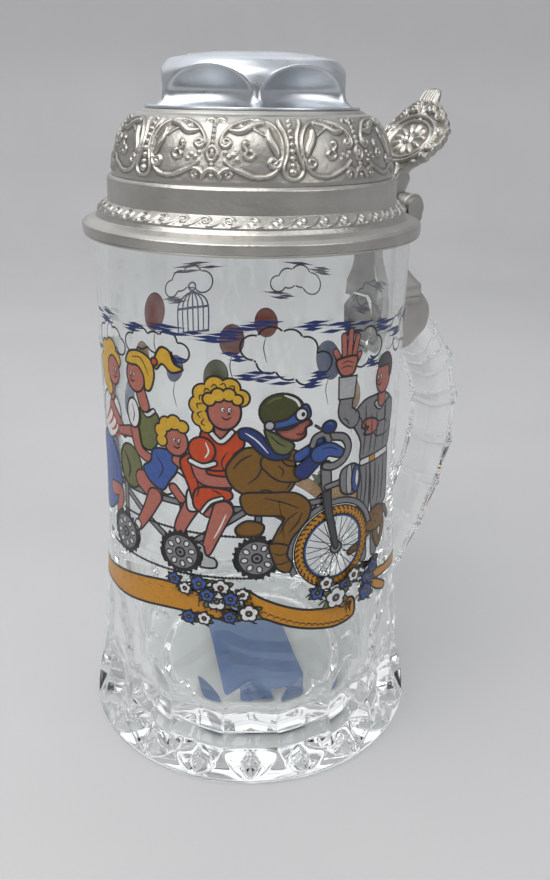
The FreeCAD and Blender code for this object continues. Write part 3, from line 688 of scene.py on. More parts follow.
def chainwheel(art, u, z, radius):
    """A toothed wheel with eight holes."""
    teeth, holes = 22, 8
    a = np.arange(teeth * 4) * TAU / (teeth * 4)
    reach = radius + 0.35 + np.tile([0, 0.75, 0.75, 0], teeth)
    art.lay("black", [np.stack([u + reach * np.cos(a), z + reach * np.sin(a)], -1)])
    art.disc("grey", u, z, radius - 0.4)
    for k in range(holes):
        a = k * TAU / holes + 0.2
        art.disc("white", *about(u, z, radius * 0.62, a), radius * 0.17, radius * 0.13, math.degrees(a),
                 0.35)
    art.disc("grey", u, z, radius * 0.24)
    art.disc("black", u, z, radius * 0.1, edge=0)


def chain(art, start, end):
    """A straight run of chain: long and round links in turn."""
    count = int(math.dist(start, end) / 0.95)
    links = []
    for k in range(count + 1):
        u, z = (start[i] + (end[i] - start[i]) * k / count for i in (0, 1))
        links.append(ellipse(u, z, 0.66 if k % 2 else 0.42, 0.42, count=8))
    art.lay("black", links)


def bicycle_frame(art):
    """The long frame with its saddles and chains."""
    for path in ([(-41, 82.7), (-20, 82.8), (4, 82.7)], [(-38.6, 68), (-38.6, 83)],
                 [(-18.4, 69), (-18.0, 84)], [(1.6, 69), (1.8, 89)],
                 [(-37, 80.6), (-29, 75.6), (-20, 70)], [(-16.6, 71), (-9, 77), (-2, 82)],
                 [(3.6, 71), (11, 78), (18.4, 84.6)], [(4, 83.2), (12, 83.4), (19, 83.4)],
                 [(-50, 82.4), (-41, 82.7)]):
        art.tube("grey", path, 1.1)
    for u, z in ((-36.4, 88.4), (-17.4, 84.6), (1.0, 88.2)):
        art.tube("dark", [(u - 2.6, z + 0.5), (u, z + 0.2), (u + 2.4, z + 0.6)], 1.2)
    chain(art, (-40, 75.0), (3, 75.0))
    chain(art, (-47, 62.2), (-16, 62.6))
    chain(art, (-18, 62.6), (2, 63.2))


def front_wheel(art):
    """The spoked wheel with its knobbly tyre, the mudguard, the fork and the lamp."""
    u, z = 22.7, 69.3
    guard = [about(u, z, 13.0, a) for a in np.radians(np.linspace(15, 208, 50))]
    art.line(guard, 2.0, "black")
    art.line(guard, 1.2, "grey")
    for radius, width, tone in ((10.4, 2.9, "black"), (10.4, 2.1, "gold"), (9.0, 0.9, "black"),
                                (8.75, 0.35, "blue")):
        art.line(ellipse(u, z, radius, count=72), width, tone, closed=True)
    treads, spokes = 44, 28
    for k in range(treads):
        a = k * TAU / treads
        for low, high, lean in ((10.5, 11.5, 0.09), (9.5, 9.9, -0.05)):
            art.line([about(u, z, low, a), about(u, z, high, a + lean)], 0.4)
    for k in range(spokes):
        a = k * TAU / spokes
        lean = 0.62 if k % 2 else -0.62
        art.line([about(u, z, 1.2, a + lean), about(u, z, 8.6, a)], 0.24)
    art.disc("grey", u, z, 1.7)
    art.disc("black", u, z, 0.8, edge=0)
    art.tube("dark", [(19.4, 88.0), (19.9, 82.0), (21.4, 75.0), (22.6, 69.8)], (2.0, 1.0))
    art.tube("grey", [(18.9, 93.4), (19.3, 87.6)], 2.4)
    art.tube("grey", [(19.4, 87.4), (23.4, 88.0)], 1.0)
    art.patch("grey", [(23.6, 91.0), (28.6, 91.6), (29.0, 84.0), (24.0, 84.8)])
    art.patch("pale", [(25.4, 91.2), (26.8, 91.4), (27.2, 84.4), (25.6, 84.8)], edge=0.3)
    art.disc("blue", 28.6, 87.6, 1.5, 3.9)
    art.disc("white", 28.9, 87.8, 0.6, 2.4, edge=0.25)


def handlebar(art):
    """The bent bar with its grips and bell."""
    art.tube("grey", [(18.8, 93.4), (21.2, 93.0), (24.2, 94.4), (25.4, 97.4), (23.8, 100.2),
                      (20.4, 101.2)], 1.5)
    art.tube("grey", [(15.0, 99.6), (15.8, 101.6), (18.2, 102.2), (19.4, 100.4)], 1.1)
    art.disc("navy", 19.4, 103.9, 2.0, 1.7)
    art.stroke([(18.6, 104.4), (19.6, 104.9), (20.4, 104.2)], 0.5, "blue")
    art.tube("dark", [(15.6, 104.8), (17.2, 103.6)], 0.4, 0.2)


def rider_in_blue(art):
    """The last rider, in a long blue skirt and a striped blouse."""
    art.patch("blue", [(-57, 70), (-60, 80), (-56, 91), (-49, 94), (-43.5, 89.5), (-41.2, 82.6),
                       (-43.5, 76), (-50, 70.5)])
    for points in ([(-54, 88), (-52, 82), (-53, 76)], [(-48, 90), (-47, 84), (-48.6, 78)],
                   [(-45, 87), (-44, 82)]):
        art.stroke(points, 0.5)
    art.tube("skin", [(-47, 78), (-42, 78.6), (-43.6, 72.4)], (3.8, 2.0))
    art.patch("white", [(-51, 104), (-46, 107), (-41, 105.6), (-39.6, 101), (-43, 95.4), (-48, 93),
                        (-52, 96)])
    for shift in (0, 2.6, 5.2, 7.8):
        art.stroke([(-51 + shift * 0.9, 97 - shift * 0.3), (-47 + shift * 0.8, 101 - shift * 0.6),
                    (-45 + shift * 0.6, 105.6 - shift * 0.5)], 0.9, "orange")
    art.tube("skin", [(-44.5, 103), (-40.6, 99.6), (-38.2, 97.2)], (2.8, 1.9))
    art.tube("skin", [(-43.6, 109.4), (-44.2, 106.4)], 3.0)
    art.cluster("blond", [(-46.8, 117.6, 2.8), (-43.2, 118.6, 2.8), (-40.4, 116.6, 2.0),
                          (-48.4, 113.8, 2.8), (-47.6, 110.2, 2.6), (-45.6, 108.0, 2.0)])
    art.disc("skin", -42.2, 113.4, 3.3, 3.9)
    face_marks(art, -41.8, 113.2, 1.2)


def rider_with_ponytail(art):
    """A rider in a green waistcoat, whose hair blows back."""
    art.disc("leaf", -36, 88.6, 5.0, 6.2)
    art.stroke([(-38.6, 92), (-36.4, 88), (-37.4, 84.6)], 0.5)
    art.tube("skin", [(-31.0, 86.2), (-26.8, 83.4)], (5.0, 4.6))
    art.tube("skin", [(-26.8, 82.6), (-29.4, 77.6), (-33.0, 72.2)], (4.2, 2.0))
    art.tube("white", [(-33.4, 72.6), (-33.9, 71.4)], 1.9)
    art.patch("gold", [(-36.2, 71.6), (-33.6, 71.4), (-32.8, 67.6), (-35.4, 65.6), (-37.2, 68.6)])
    art.patch("leaf", [(-32, 105.4), (-25.4, 106), (-24.4, 101), (-26.6, 95.8), (-31, 95.6), (-33, 99)])
    art.tube("white", [(-30.2, 106.6), (-28.4, 104.8), (-26.2, 106.2)], 0.8)
    art.tube("skin", [(-35.2, 98.6), (-40.2, 97.4)], (2.6, 1.8))
    art.tube("skin", [(-33.2, 99.6), (-31.6, 94.4), (-26.2, 92.6)], (2.8, 2.2))
    art.disc("white", -33.4, 104.2, 2.4, 4.0)
    art.stroke([(-33.8, 106.8), (-33.0, 104.0), (-33.8, 101.6)], 0.35)
    art.tube("skin", [(-30.2, 110.6), (-29.0, 107.2)], 3.0)
    art.disc("skin", -31.8, 114.4, 3.4, 4.2)
    face_marks(art, -32.6, 114.2, 1.15, -1)
    art.patch("blond", [(-35.4, 117.6), (-33.8, 120.4), (-30, 121.2), (-26.2, 119.6), (-25.2, 115.8),
                        (-26.6, 111.8), (-28.4, 111.8), (-28.8, 115), (-30.6, 117.2), (-33.4, 117.2)])
    art.stroke([(-33, 119.2), (-29.4, 119.4), (-27, 115.4)], 0.35)
    art.patch("blond", [(-25.2, 119.4), (-23.2, 123.2), (-20.6, 122.8), (-19.2, 119.8), (-16.8, 118.6),
                        (-20, 117.4), (-22.6, 119.2), (-24.4, 117.6)])
    art.disc("orange", -25.0, 119.4, 1.0)


def child_in_blue(art):
    """A curly-haired child on the crossbar."""
    art.patch("white", [(-22.4, 91.4), (-17.6, 90.4), (-14.4, 86.2), (-16.4, 83.4), (-19.4, 85.6),
                        (-22.8, 84.2), (-25, 86.2)])
    art.tube("skin", [(-20.6, 86.6), (-18.4, 84.0)], 2.0)
    art.patch("blue", [(-26.4, 96.2), (-20.8, 96.6), (-19.2, 92.2), (-21.6, 88.4), (-24, 85.2),
                       (-28, 86.6), (-30.4, 90), (-27.6, 92.6)])
    art.stroke([(-25.6, 94.6), (-23.6, 91.4), (-25.4, 88)], 0.4)
    art.tube("skin", [(-19.4, 94.6), (-17.2, 93.0)], (2.2, 2.0))
    art.disc("skin", -19.5, 99.6, 3.5, 3.9)
    face_marks(art, -19.6, 99.4, 1.2)
    art.cluster("blond", [(-23.6, 99.2, 1.4), (-23.8, 101.8, 1.6), (-22.2, 103.8, 1.7),
                          (-19.8, 104.6, 1.7), (-17.4, 103.8, 1.4)])


def rider_in_orange(art):
    """A curly-haired rider in an orange dress with white trim."""
    art.tube("skin", [(-15.8, 82), (-18.4, 77), (-19.4, 73.6)], (3.8, 2.2))
    art.patch("white", [(-16.6, 86.6), (-13.8, 88.2), (-13.2, 84.6), (-13.6, 81.6), (-16.6, 81.4)])
    art.patch("orange", [(-16.6, 96.6), (-12, 99.6), (-5.6, 99), (-5.0, 93.4), (-5.4, 87.6), (-9, 84.6),
                         (-14.4, 83.6), (-16.2, 88), (-18.4, 94)])
    art.tube("skin", [(-10.8, 82.4), (-7.4, 83.0)], (4.2, 5.2))
    art.tube("skin", [(-7.2, 82.4), (-9.4, 76.6), (-11.6, 70.4)], (4.8, 2.2))
    art.stroke([(-6.4, 81.4), (-8.0, 77.4), (-9.6, 74.2)], 0.4, "white")
    art.patch("orange", [(-13.6, 88), (-6, 88.2), (-5.0, 85.8), (-9.4, 84.2), (-12.4, 81.2), (-15.0, 83.2)])
    art.tube("white", [(-12.6, 81.4), (-10.4, 84.4), (-7.4, 85.8)], 0.6)
    art.patch("pale", [(-14.4, 72.2), (-12.4, 71.8), (-11.6, 69.2), (-9.2, 68.2), (-9.2, 65.9),
                       (-13.4, 65.7), (-14.8, 68.4)])
    art.patch("orange", [(-12.4, 103.6), (-7.2, 101.4), (-3, 104.2), (-1.8, 100.4), (-4.4, 97.6),
                         (-5, 94), (-12, 94)])
    for points in ([(-6, 98.4), (-7.4, 95.6), (-6.4, 92.6)], [(-14.6, 92), (-13.4, 88), (-14, 85.4)],
                   [(-10, 88), (-7.4, 86.8)]):
        art.stroke(points, 0.4)
    art.tube("skin", [(-13.4, 94.2), (-11.6, 90.6), (-3.2, 90.4)], (3.4, 2.3))
    art.patch("skin", [(-3.8, 92.4), (-2.4, 93.8), (-0.6, 92.6), (0.4, 90.8), (-1, 89.2), (-3.8, 89.4)])
    art.disc("orange", -12.4, 98.4, 3.5, 3.5)
    art.stroke([(-11.4, 100.6), (-10.6, 98.4), (-11.6, 96.4)], 0.45, "white")
    art.tube("white", [(-15.4, 95.2), (-12.2, 94.2), (-9.2, 95.2)], 0.9)
    art.tube("skin", [(-7.4, 106.4), (-7.2, 103.2)], 3.2)
    art.tube("white", [(-10.6, 104.2), (-7.6, 101.2), (-4.8, 103.8)], 0.9)
    art.cluster("blond", [(-12.4, 107.0, 2.0), (-13.0, 110.2, 2.1), (-11.8, 113.2, 2.3),
                          (-8.8, 115.2, 2.4), (-5.2, 115.0, 2.3), (-2.6, 112.6, 1.9),
                          (-11.0, 105.0, 1.5)])
    for k in range(8):
        a = math.radians(60 + k * 21)
        root = (-6.8 + 5.2 * math.cos(a), 109.4 + 5.4 * math.sin(a))
        art.stroke([root, about(*root, 1.5, a + 0.5), about(*root, 1.9, a + 1.2)], 0.36)
    art.disc("skin", -6.6, 109.0, 4.1, 4.6)
    face_marks(art, -6.6, 108.9, 1.45)
    art.cluster("blond", [(-10.2, 112.0, 1.4), (-8.0, 113.2, 1.5), (-5.4, 113.4, 1.4), (-3.4, 112.2, 1.1)])


def rider_with_helmet(art):
    """The leading rider, bent over the bar in helmet, goggles and scarf."""
    art.patch("ochre", [(-4, 77.6), (-1, 79.8), (3, 78.6), (2, 75.6), (-3, 75.4)])
    art.patch("ochre", [(-6.4, 93.6), (-3.6, 98.2), (-0.6, 99.9), (4, 99.2), (9.4, 97.6), (11, 94),
                        (10.4, 89), (7, 86.2), (2, 86.2), (-4, 88.4)])
    art.patch("ochre", [(-2.4, 87.2), (5, 87.6), (11, 87), (14.9, 83.6), (14.6, 79.4), (10.6, 74.6),
                        (9.2, 72.2), (5.2, 72.8), (6.6, 77), (8.2, 80.4), (4, 81.2), (-1.4, 82)])
    art.stroke([(7, 75.6), (9, 79.6), (11.8, 81.6)], 0.4)
    art.stroke([(3, 86.2), (8, 84.6), (12, 82.6)], 0.4)
    art.patch("ochre", [(4.6, 73), (9.2, 72.4), (9.0, 69.6), (10.4, 66.8), (9.4, 64.6), (6.8, 65.6),
                        (5.4, 68.6)])
    art.stroke([(5.2, 70.6), (7.2, 69.8), (9.0, 70.2)], 0.35)
    for points in ([(-4.6, 94), (-2.4, 96.6), (0.2, 98)], [(-1, 90), (1.6, 92.4), (2.6, 95.4)],
                   [(8.6, 88.2), (9.8, 90.2), (9.4, 92)], [(9.4, 76), (11.6, 78.4), (13, 81.4)],
                   [(1, 87.4), (3.4, 88.4), (6, 87.4)], [(5.6, 67.4), (7.4, 67.2), (9.6, 67.8)]):
        art.stroke(points, 0.45)
    art.tube("ochre", [(8.4, 98.0), (11.0, 97.0)], 2.4)
    art.tube("blue", [(11.8, 96.9), (15.2, 98.6), (18.2, 100.8)], (2.4, 2.6))
    handlebar(art)
    art.tube("ochre", [(4.6, 95.8), (7.6, 92.8), (11.4, 92.2)], (4.4, 3.6))
    art.stroke([(6.4, 95.0), (7.8, 93.4), (7.2, 91.6)], 0.4)
    art.tube("navy", [(12.8, 93.0), (15.6, 95.4)], (4.0, 3.2))
    art.tube("blue", [(17.0, 97.0), (19.6, 97.8), (22.6, 96.4)], (4.2, 2.2))
    art.stroke([(17.6, 98.4), (20.2, 98.2), (22.4, 97.0)], 0.3)
    art.patch("navy", [(-3, 104.6), (-0.4, 105), (2.4, 103.2), (4.6, 99.8), (9, 98.6), (8.8, 96.8),
                       (5, 96.6), (1.8, 98.6), (-0.6, 101.4), (-2.8, 102.4)])
    art.stroke([(-1.6, 103.8), (1.2, 101.8), (4, 98.4)], 0.4, "white")
    art.patch("leaf", [(3.0, 104.6), (5.6, 103.6), (9, 101.6), (10.4, 99.8), (8.4, 97.8), (5.2, 99)])
    art.stroke([(4.4, 103.0), (6.4, 101.0), (8.4, 99.8)], 0.35)
    art.patch("skin", [(5.6, 105.6), (10, 107), (13.4, 106.9), (14.6, 105.4), (13.2, 104.6),
                       (13.0, 102.4), (10.6, 101.4), (7, 102.8)])
    art.stroke([(10.6, 103.2), (12.0, 103.0), (12.8, 103.8)], 0.4)
    art.disc("olive", 7.2, 109.2, 5.5, 4.7, -8)
    art.stroke([(7.6, 113.4), (10.6, 111.8), (12.0, 108.6)], 0.6, "white")
    art.stroke([(3.6, 111.4), (5.2, 112.6), (7.0, 112.8)], 0.5, "leaf")
    art.patch("blue", [(4.6, 106.4), (8.6, 107.4), (12.8, 110.8), (14.2, 107.6), (11.2, 106), (5.2, 104.8)])
    art.disc("white", 11.9, 108.2, 1.5, 1.6)
    art.disc("black", 12.3, 108.2, 0.5, 0.6, edge=0)
    art.disc("pale", 4.2, 105.8, 1.2)


def ribbon(art):
    """A blank banner in two swags, with forked ends."""
    art.patch("gold", [(34.5, 56.2), (40, 55.8), (46, 54.4), (52, 53.6), (58, 52.2), (57, 50.0),
                       (50, 51.2), (42, 52.6), (35, 54.0)])
    art.patch("gold", [(36.5, 53.6), (40.2, 52.4), (45.4, 48.6), (43.4, 47.6), (38.4, 50.4)])
    art.patch("gold", [
        (-62, 50.6), (-52, 52.4), (-42, 54.8), (-32, 57.2), (-23, 58.8), (-15, 58.0), (-8, 54.6),
        (-3, 52.9),
        (-3, 50.6), (-9, 50.7), (-16, 51.4), (-23, 51.0), (-31, 49.6), (-40, 48.0), (-50, 47.2),
        (-61, 46.2)], 0.7)
    art.patch("gold", [
        (-1.8, 59.6), (3, 57.0), (9, 54.2), (15, 52.2), (22, 51.2), (29.0, 51.8),
        (29.4, 46.4), (24, 45.0), (18, 45.8), (11, 47.8), (5, 50.4), (-1, 53.6)], 0.7)
    for k in range(16):
        u = 0.5 + k * 1.7
        low = float(np.interp(u, [-1, 5, 11, 18, 24, 29], [54.4, 51.2, 48.6, 46.5, 45.7, 47.1]))
        art.stroke([(u, low), (u + 0.9, low + 0.5), (u + 1.9, low - 0.1)], 0.3)
    for u in range(-58, -18, 4):
        art.stroke([(u, 52.6 + (u + 58) * 0.13), (u + 1.8, 52.2 + (u + 58) * 0.13)], 0.25, "ochre")
    for k in range(7):
        art.line([(-13.6 + k * 1.6, 57.2 - k * 0.75), (-13.8 + k * 1.6, 53.4 - k * 0.3)], 0.35)
        art.line([(26.2 + k * 0.4, 51.0), (26.0 + k * 0.42, 49.6 - (k % 3))], 0.28)


def flower(art, u, z, size, petals):
    """Five round petals on a few pointed leaves and fronds."""
    for start in (25, 140, 215, 330):
        a = math.radians(start)
        tip = about(u, z, size * 2.5, a, 0.84)
        middle = ((u + tip[0]) / 2, (z + tip[1]) / 2)
        sides = [about(*middle, size * 0.6, a + turn) for turn in (math.pi / 2, -math.pi / 2)]
        art.patch("leaf", [(u, z), sides[0], tip, sides[1]], 0.4)
    for start in (70, 180, 285):
        a = math.radians(start)
        art.stroke([(u, z), about(u, z, size * 1.8, a, 8 / 9), about(u, z, size * 2.9, a + 0.25,
                                                                     23 / 29)], 0.6)
    art.cluster(petals, [(*about(u, z, size * 0.85, k * TAU / 5 + 0.3), size * 0.62) for k in range(5)])
    art.disc("blue" if petals == "white" else "white", u, z, size * 0.55, edge=0.3)
    art.disc("gold", u, z, size * 0.3, edge=0.3)


def flowers(art):
    """The posies that hold the banner up."""
    for u, z, size, petals in (
        (-20.6, 60.6, 1.0, "blue"), (-13.6, 60.6, 1.3, "blue"), (-7.8, 60.2, 1.4, "white"),
        (-16.4, 50.0, 1.1, "blue"), (-12.2, 50.4, 1.1, "white"), (-2.2, 58.6, 1.0, "white"),
        (-0.6, 53.2, 1.5, "white"), (-8.8, 56.4, 1.7, "white"), (17.4, 57.0, 1.2, "blue"),
        (19.8, 59.4, 1.2, "white"), (31.4, 58.0, 1.3, "white"), (34.6, 56.0, 1.5, "blue"),
        (33.4, 52.0, 1.5, "blue"), (-17.4, 58.6, 1.0, "white"), (-11.2, 57.8, 1.1, "blue"),
        (-5.2, 57.4, 1.1, "blue"), (-5.4, 52.0, 1.0, "blue"), (25.8, 57.2, 1.1, "blue"),
        (28.6, 59.2, 1.2, "white"), (36.6, 58.6, 1.1, "blue"), (22.6, 54.4, 1.9, "white"),
    ):
        flower(art, u, z, size, petals)


def bird_cage(art, u, z):
    """A domed cage of upright bars with a ring on top."""
    for k in range(-3, 4):
        bar = [(u + k * 1.9, z), (u + k * 1.9, z + 8), (u + k * 1.3, z + 11.4), (u, z + 13.4)]
        art.line(curve(bar, 6), 0.55, "blue")
    for level in (0.0, 8.0):
        art.line([(u - 6, z + level), (u + 6, z + level)], 0.8, "blue")
    art.line(ellipse(u, z + 14.8, 1.3), 0.6, "blue", closed=True)


def balloon(art, tone, u, z, wide):
    """A balloon on a loose thread, with a white glint."""
    foot = z - wide * 1.25
    art.disc(tone, u, z, wide, wide * 1.25)
    art.stroke([(u, foot), (u + 0.8, foot - 4), (u - 0.4, foot - 9)], 0.4)
    art.stroke([(u - wide * 0.5, z + wide * 0.3), (u - wide * 0.3, z + wide * 0.75),
                (u + wide * 0.1, z + wide)], 0.5, "white")


def far_side(art, rng):
    """The picture away from the riders: clouds, a bird cage, balloons and a ribbon in three swags."""
    for u in (78.0, 112.0, 150.0):
        art.cloud([(u, 124, 3.4), (u + 4, 126, 3.6), (u + 8.5, 125, 3.2), (u + 12, 123, 2.6)])
        art.streaks(u - 4, 130, 4, 14, rng)
        art.streaks(u + 8, 120, 3, 12, rng)
    bird_cage(art, 154.0, 108.0)
    for tone, u, z, wide in (
        ("orange", 170.0, 117.0, 4.6), ("skin", 140.0, 104.0, 4.2), ("gold", 178.0, 104.0, 4.0),
        ("blue", 162.0, 97.0, 3.4), ("leaf", 146.0, 92.0, 4.4), ("orange", 128.0, 110.0, 3.8),
        ("blue", 104.0, 100.0, 5.0), ("gold", 92.0, 92.0, 4.0), ("blue", 188.0, 94.0, 4.4),
    ):
        balloon(art, tone, u, z, wide)
    for start in (66.0, 106.0, 146.0):
        upper = [(start, 53), (start + 12, 57.6), (start + 26, 57.6), (start + 38, 53)]
        art.patch("gold", upper + [(u, z - 5) for u, z in reversed(upper)], 0.6)
        flower(art, start, 56, 1.6, "white")


def enamel_picture():
    """The whole print, from what lies furthest back to what covers it."""
    rng = np.random.default_rng(19)
    art = Enamel()
    sky(art, rng)
    far_side(art, rng)
    standing_figure(art)
    small_dog(art)
    bicycle_frame(art)
    rider_in_blue(art)
    rider_with_ponytail(art)
    child_in_blue(art)
    rider_in_orange(art)
    for u, z, radius in ((-39.1, 68.0, 5.4), (-18.8, 68.8, 5.3), (1.4, 69.0, 5.3)):
        chainwheel(art, u, z, radius)
    front_wheel(art)
    rider_with_helmet(art)
    ribbon(art)
    flowers(art)
    art.finish()


# --- lid ---------------------------------------------------------------------------------

WAVES = 45


def wave_relief(phi, radius, height):
    """The running scroll on the sloped ring, each curl a wave that breaks."""
    low, high = 152.05, 154.3
    cell, tall = 5.6, 3.6
    on_ring = (height > low - 0.2) & (height < high + 0.2) & (radius > 37.0) & (radius < 41.5)
    u = (phi * WAVES / TAU % 1) * cell
    v = (height - low) / (high - low) * tall
    field = np.zeros_like(u)
    rise = curve([(-0.9, 0.2), (0.4, 0.5), (1.7, 1.5), (2.6, 2.6), (3.7, 3.0), (4.7, 2.4),
                  (4.6, 1.4), (3.8, 1.1), (3.3, 1.7)], 8)
    for shift in (-cell, 0, cell):
        raised(field, (u, v), rise + np.array([shift, 0]), 0.36, 0.42)
        raised(field, (u, v), spiral((2.3 + shift, 0.75), 0.45, 200, 1.0), 0.2, 0.26)
    return np.where(on_ring, field, 0)


def lid_rim(metal):
    """Skirt, shoulder, scrolled ring and plain band, as one hollow casting."""
    seat, neck = 149.0, 37.9
    outer = rounded([
        (SKIRT_RADIUS - 1.5, SKIRT_BOTTOM), (SKIRT_RADIUS - 0.3, SKIRT_BOTTOM, 0.15),
        (SKIRT_RADIUS - 0.1, SKIRT_BOTTOM + 0.45, 0.1), (SKIRT_RADIUS - 0.35, SKIRT_BOTTOM + 0.6, 0.1),
        (SKIRT_RADIUS, SKIRT_BOTTOM + 0.8, 0.1), (SKIRT_RADIUS, seat - 0.1, 0.5),
        (43.6, 149.65, 0.8), (41.3, 150.5, 0.5), (40.75, 151.5, 0.4), (40.7, 152.0, 0.2),
        (neck + 0.1, 154.3, 0.2), (neck, BAND_TOP - 0.7, 0.5), (neck - 0.6, BAND_TOP, 0.3),
        (neck - 2.4, BAND_TOP)], 0.2)
    inner = rounded([(neck - 2.5, BAND_TOP), (neck - 2.5, 152.5, 0.5), (37.4, seat, 0.5),
                     (43.3, seat, 0.3), (43.3, SKIRT_BOTTOM)], 1.2)
    item = lathe("lid_rim_cast", np.concatenate([outer, inner[1:-1]]), WAVES * 20, wave_relief,
                 closed=True, body="lid")
    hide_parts("lid_rim")
    set_heights(item, "relief", np.ones(len(item.data.vertices)))
    paint(item, metal)


def dome_half_cell(columns, rows, width, tall):
    """Relief of one half of the vine panel, from the bead column to the oval column."""
    u, v = np.meshgrid((np.arange(columns) + 0.5) * width / columns, np.linspace(0, tall, rows))
    grid = (u, v)
    field = np.zeros_like(u)
    cord, fine = 0.37, 0.27
    # the double-outlined bead column at u = 0
    raised(field, grid, curve([(2.7, 16.2), (2.5, 14.6), (1.5, 12.0), (1.1, 9.5), (1.3, 6.5),
                               (2.2, 3.6), (2.1, 1.9), (1.1, 0.8), (0, 0.5)], 12), cord, 0.62)
    for k, size in enumerate((0.95, 0.55, 0.62, 0.62, 0.62, 0.66, 0.58, 0.52, 0.46)):
        raised(field, grid, [(0, 2.3 + k * 1.72)], size, 0.75)
    # the great scroll that fills the panel
    raised(field, grid, curve([(15.3, 4.9), (13.6, 3.4), (11.0, 1.9), (8.2, 1.1), (5.2, 1.6), (3.0, 3.9),
                               (2.3, 7.2), (2.6, 11.0), (4.4, 14.3), (7.6, 15.9), (11.0, 15.6),
                               (14.0, 14.0), (16.0, 11.6), (16.5, 9.7)], 14), cord, 0.7)
    raised(field, grid, spiral((15.2, 9.6), 1.35, 0, -1.35), cord * 0.9, 0.65)
    # leaves, thick in the middle
    raised(field, grid, curve([(6.6, 14.9), (9.0, 14.4), (11.8, 12.6), (14.4, 12.7)], 10), 1.0, 0.75, True)
    raised(field, grid, curve([(5.6, 12.9), (5.2, 10.6), (3.9, 8.0), (3.4, 6.2)], 10), 0.95, 0.7, True)
    raised(field, grid, curve([(12.0, 14.2), (9.0, 13.2), (7.2, 12.0), (6.2, 11.4)], 10), fine, 0.5)
    # inner curls
    raised(field, grid, spiral((4.3, 4.7), 1.55, 150, 1.3), cord, 0.65)
    raised(field, grid, curve([(10.6, 9.6), (11.2, 8.6), (10.4, 7.6), (10.9, 6.2), (9.6, 5.6),
                               (8.7, 6.6), (9.4, 7.5)], 8), cord, 0.62)
    raised(field, grid, [(10.9, 9.5)], 0.8, 0.7)
    # tendrils at the foot of the oval column
    raised(field, grid, curve([(9.0, 1.2), (11.5, 2.6), (13.6, 3.2), (15.6, 2.7),
                               (16.6, 1.2)], 10), cord, 0.6)
    raised(field, grid, spiral((14.6, 1.5), 0.95, 60, 1.1), fine, 0.5)
    raised(field, grid, curve([(16.2, 0.6), (17.0, 2.2), (18.3, 3.3)], 8), 0.6, 0.6, True)
    for x, y in ((13.4, 6.5), (14.5, 6.0), (15.3, 7.0), (12.6, 5.4)):
        raised(field, grid, [(x, y)], 0.45, 0.5)
    # the small column at u = width: oval boss between beads, with a bud above
    ring = np.linspace(0, TAU, 40)
    oval = np.stack([width + 1.15 * np.cos(ring), 6.8 + 1.75 * np.sin(ring)], -1)
    raised(field, grid, oval, 0.36, 0.6)
    raised(field, grid, [(width, 6.3), (width, 6.8), (width, 7.3)], 0.5, 0.7)
    for y in (1.2, 2.6, 4.0, 9.6, 11.0, 12.4, 13.8, 15.1):
        raised(field, grid, [(width, y)], 0.52, 0.65)
    raised(field, grid, curve([(width - 2.2, 15.9), (width - 1.2, 16.4), (width, 15.6)], 8), 0.5, 0.55)
    return field


def lid_dome(metal):
    """The embossed dome: six mirrored vine panels on a swelling wall, and a stepped top."""
    panels, columns, half_width, tall, lines = 6, 84, 18.4, 17.0, 160
    foot = BAND_TOP
    wall = rounded([(36.6, foot), (36.6, foot + 0.9, 0.4), (35.9, foot + 4.2, 12), (34.6, foot + 8.9, 14),
                    (32.6, foot + 12.6, 7), (30.2, foot + 14.7, 3), (29.0, foot + 14.95, 0.6)], 0.28)
    steps = rounded([(28.9, foot + 14.95), (28.6, foot + 15.3, 0.2), (28.2, PLATE_TOP - 0.2, 0.2),
                     (27.9, PLATE_TOP, 0.2), (20.0, PLATE_TOP)], 0.4)
    under = rounded([(2.1, PLATE_TOP), (2.1, PLATE_TOP - LID_WALL, 0.2),
                     (26.5, PLATE_TOP - LID_WALL - 0.8, 2), (32.6, foot + 8.5, 8), (34.8, foot)], 2.5)
    outline = np.concatenate([wall, steps[1:], under[:-1]])
    travel = np.concatenate([[0], np.cumsum(np.linalg.norm(np.diff(wall, axis=0), axis=1))])
    low, high = 1.1, travel[-1] - 1.6
    picture = dome_half_cell(columns, lines, half_width, tall)
    ring = np.tile(np.concatenate([picture, picture[:, ::-1]], 1), (1, panels))
    level = (travel - low) / (high - low) * (lines - 1)
    inside = (level >= 0) & (level <= lines - 1)
    floor = np.clip(np.floor(level).astype(int), 0, lines - 2)
    part = (level - floor)[:, None]
    relief = np.zeros((len(outline), ring.shape[1]))
    relief[: len(wall)][inside] = ((1 - part) * ring[floor] + part * ring[floor + 1])[inside]
    turn = 12.0     # degrees from the handle to the first bead column
    relief = np.roll(relief, round(ring.shape[1] * turn / 360), 1)
    item = lathe("lid_dome_cast", outline, ring.shape[1], lambda phi, r, z: relief * 0.8,
                 closed=True, body="lid")
    # tarnish lies where the relief is lower than what is round it
    spread = relief
    for axis, reach in ((0, 3), (1, 4)):
        spread = sum(np.roll(spread, k, axis) for k in range(-reach, reach + 1)) / (2 * reach + 1)
    tone = np.ones_like(relief)
    tone[: len(wall)] = np.clip(0.55 + (relief - spread)[: len(wall)] * 2.6, 0, 1)
    set_heights(item, "relief", tone)
    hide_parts("lid_dome")
    paint(item, metal)


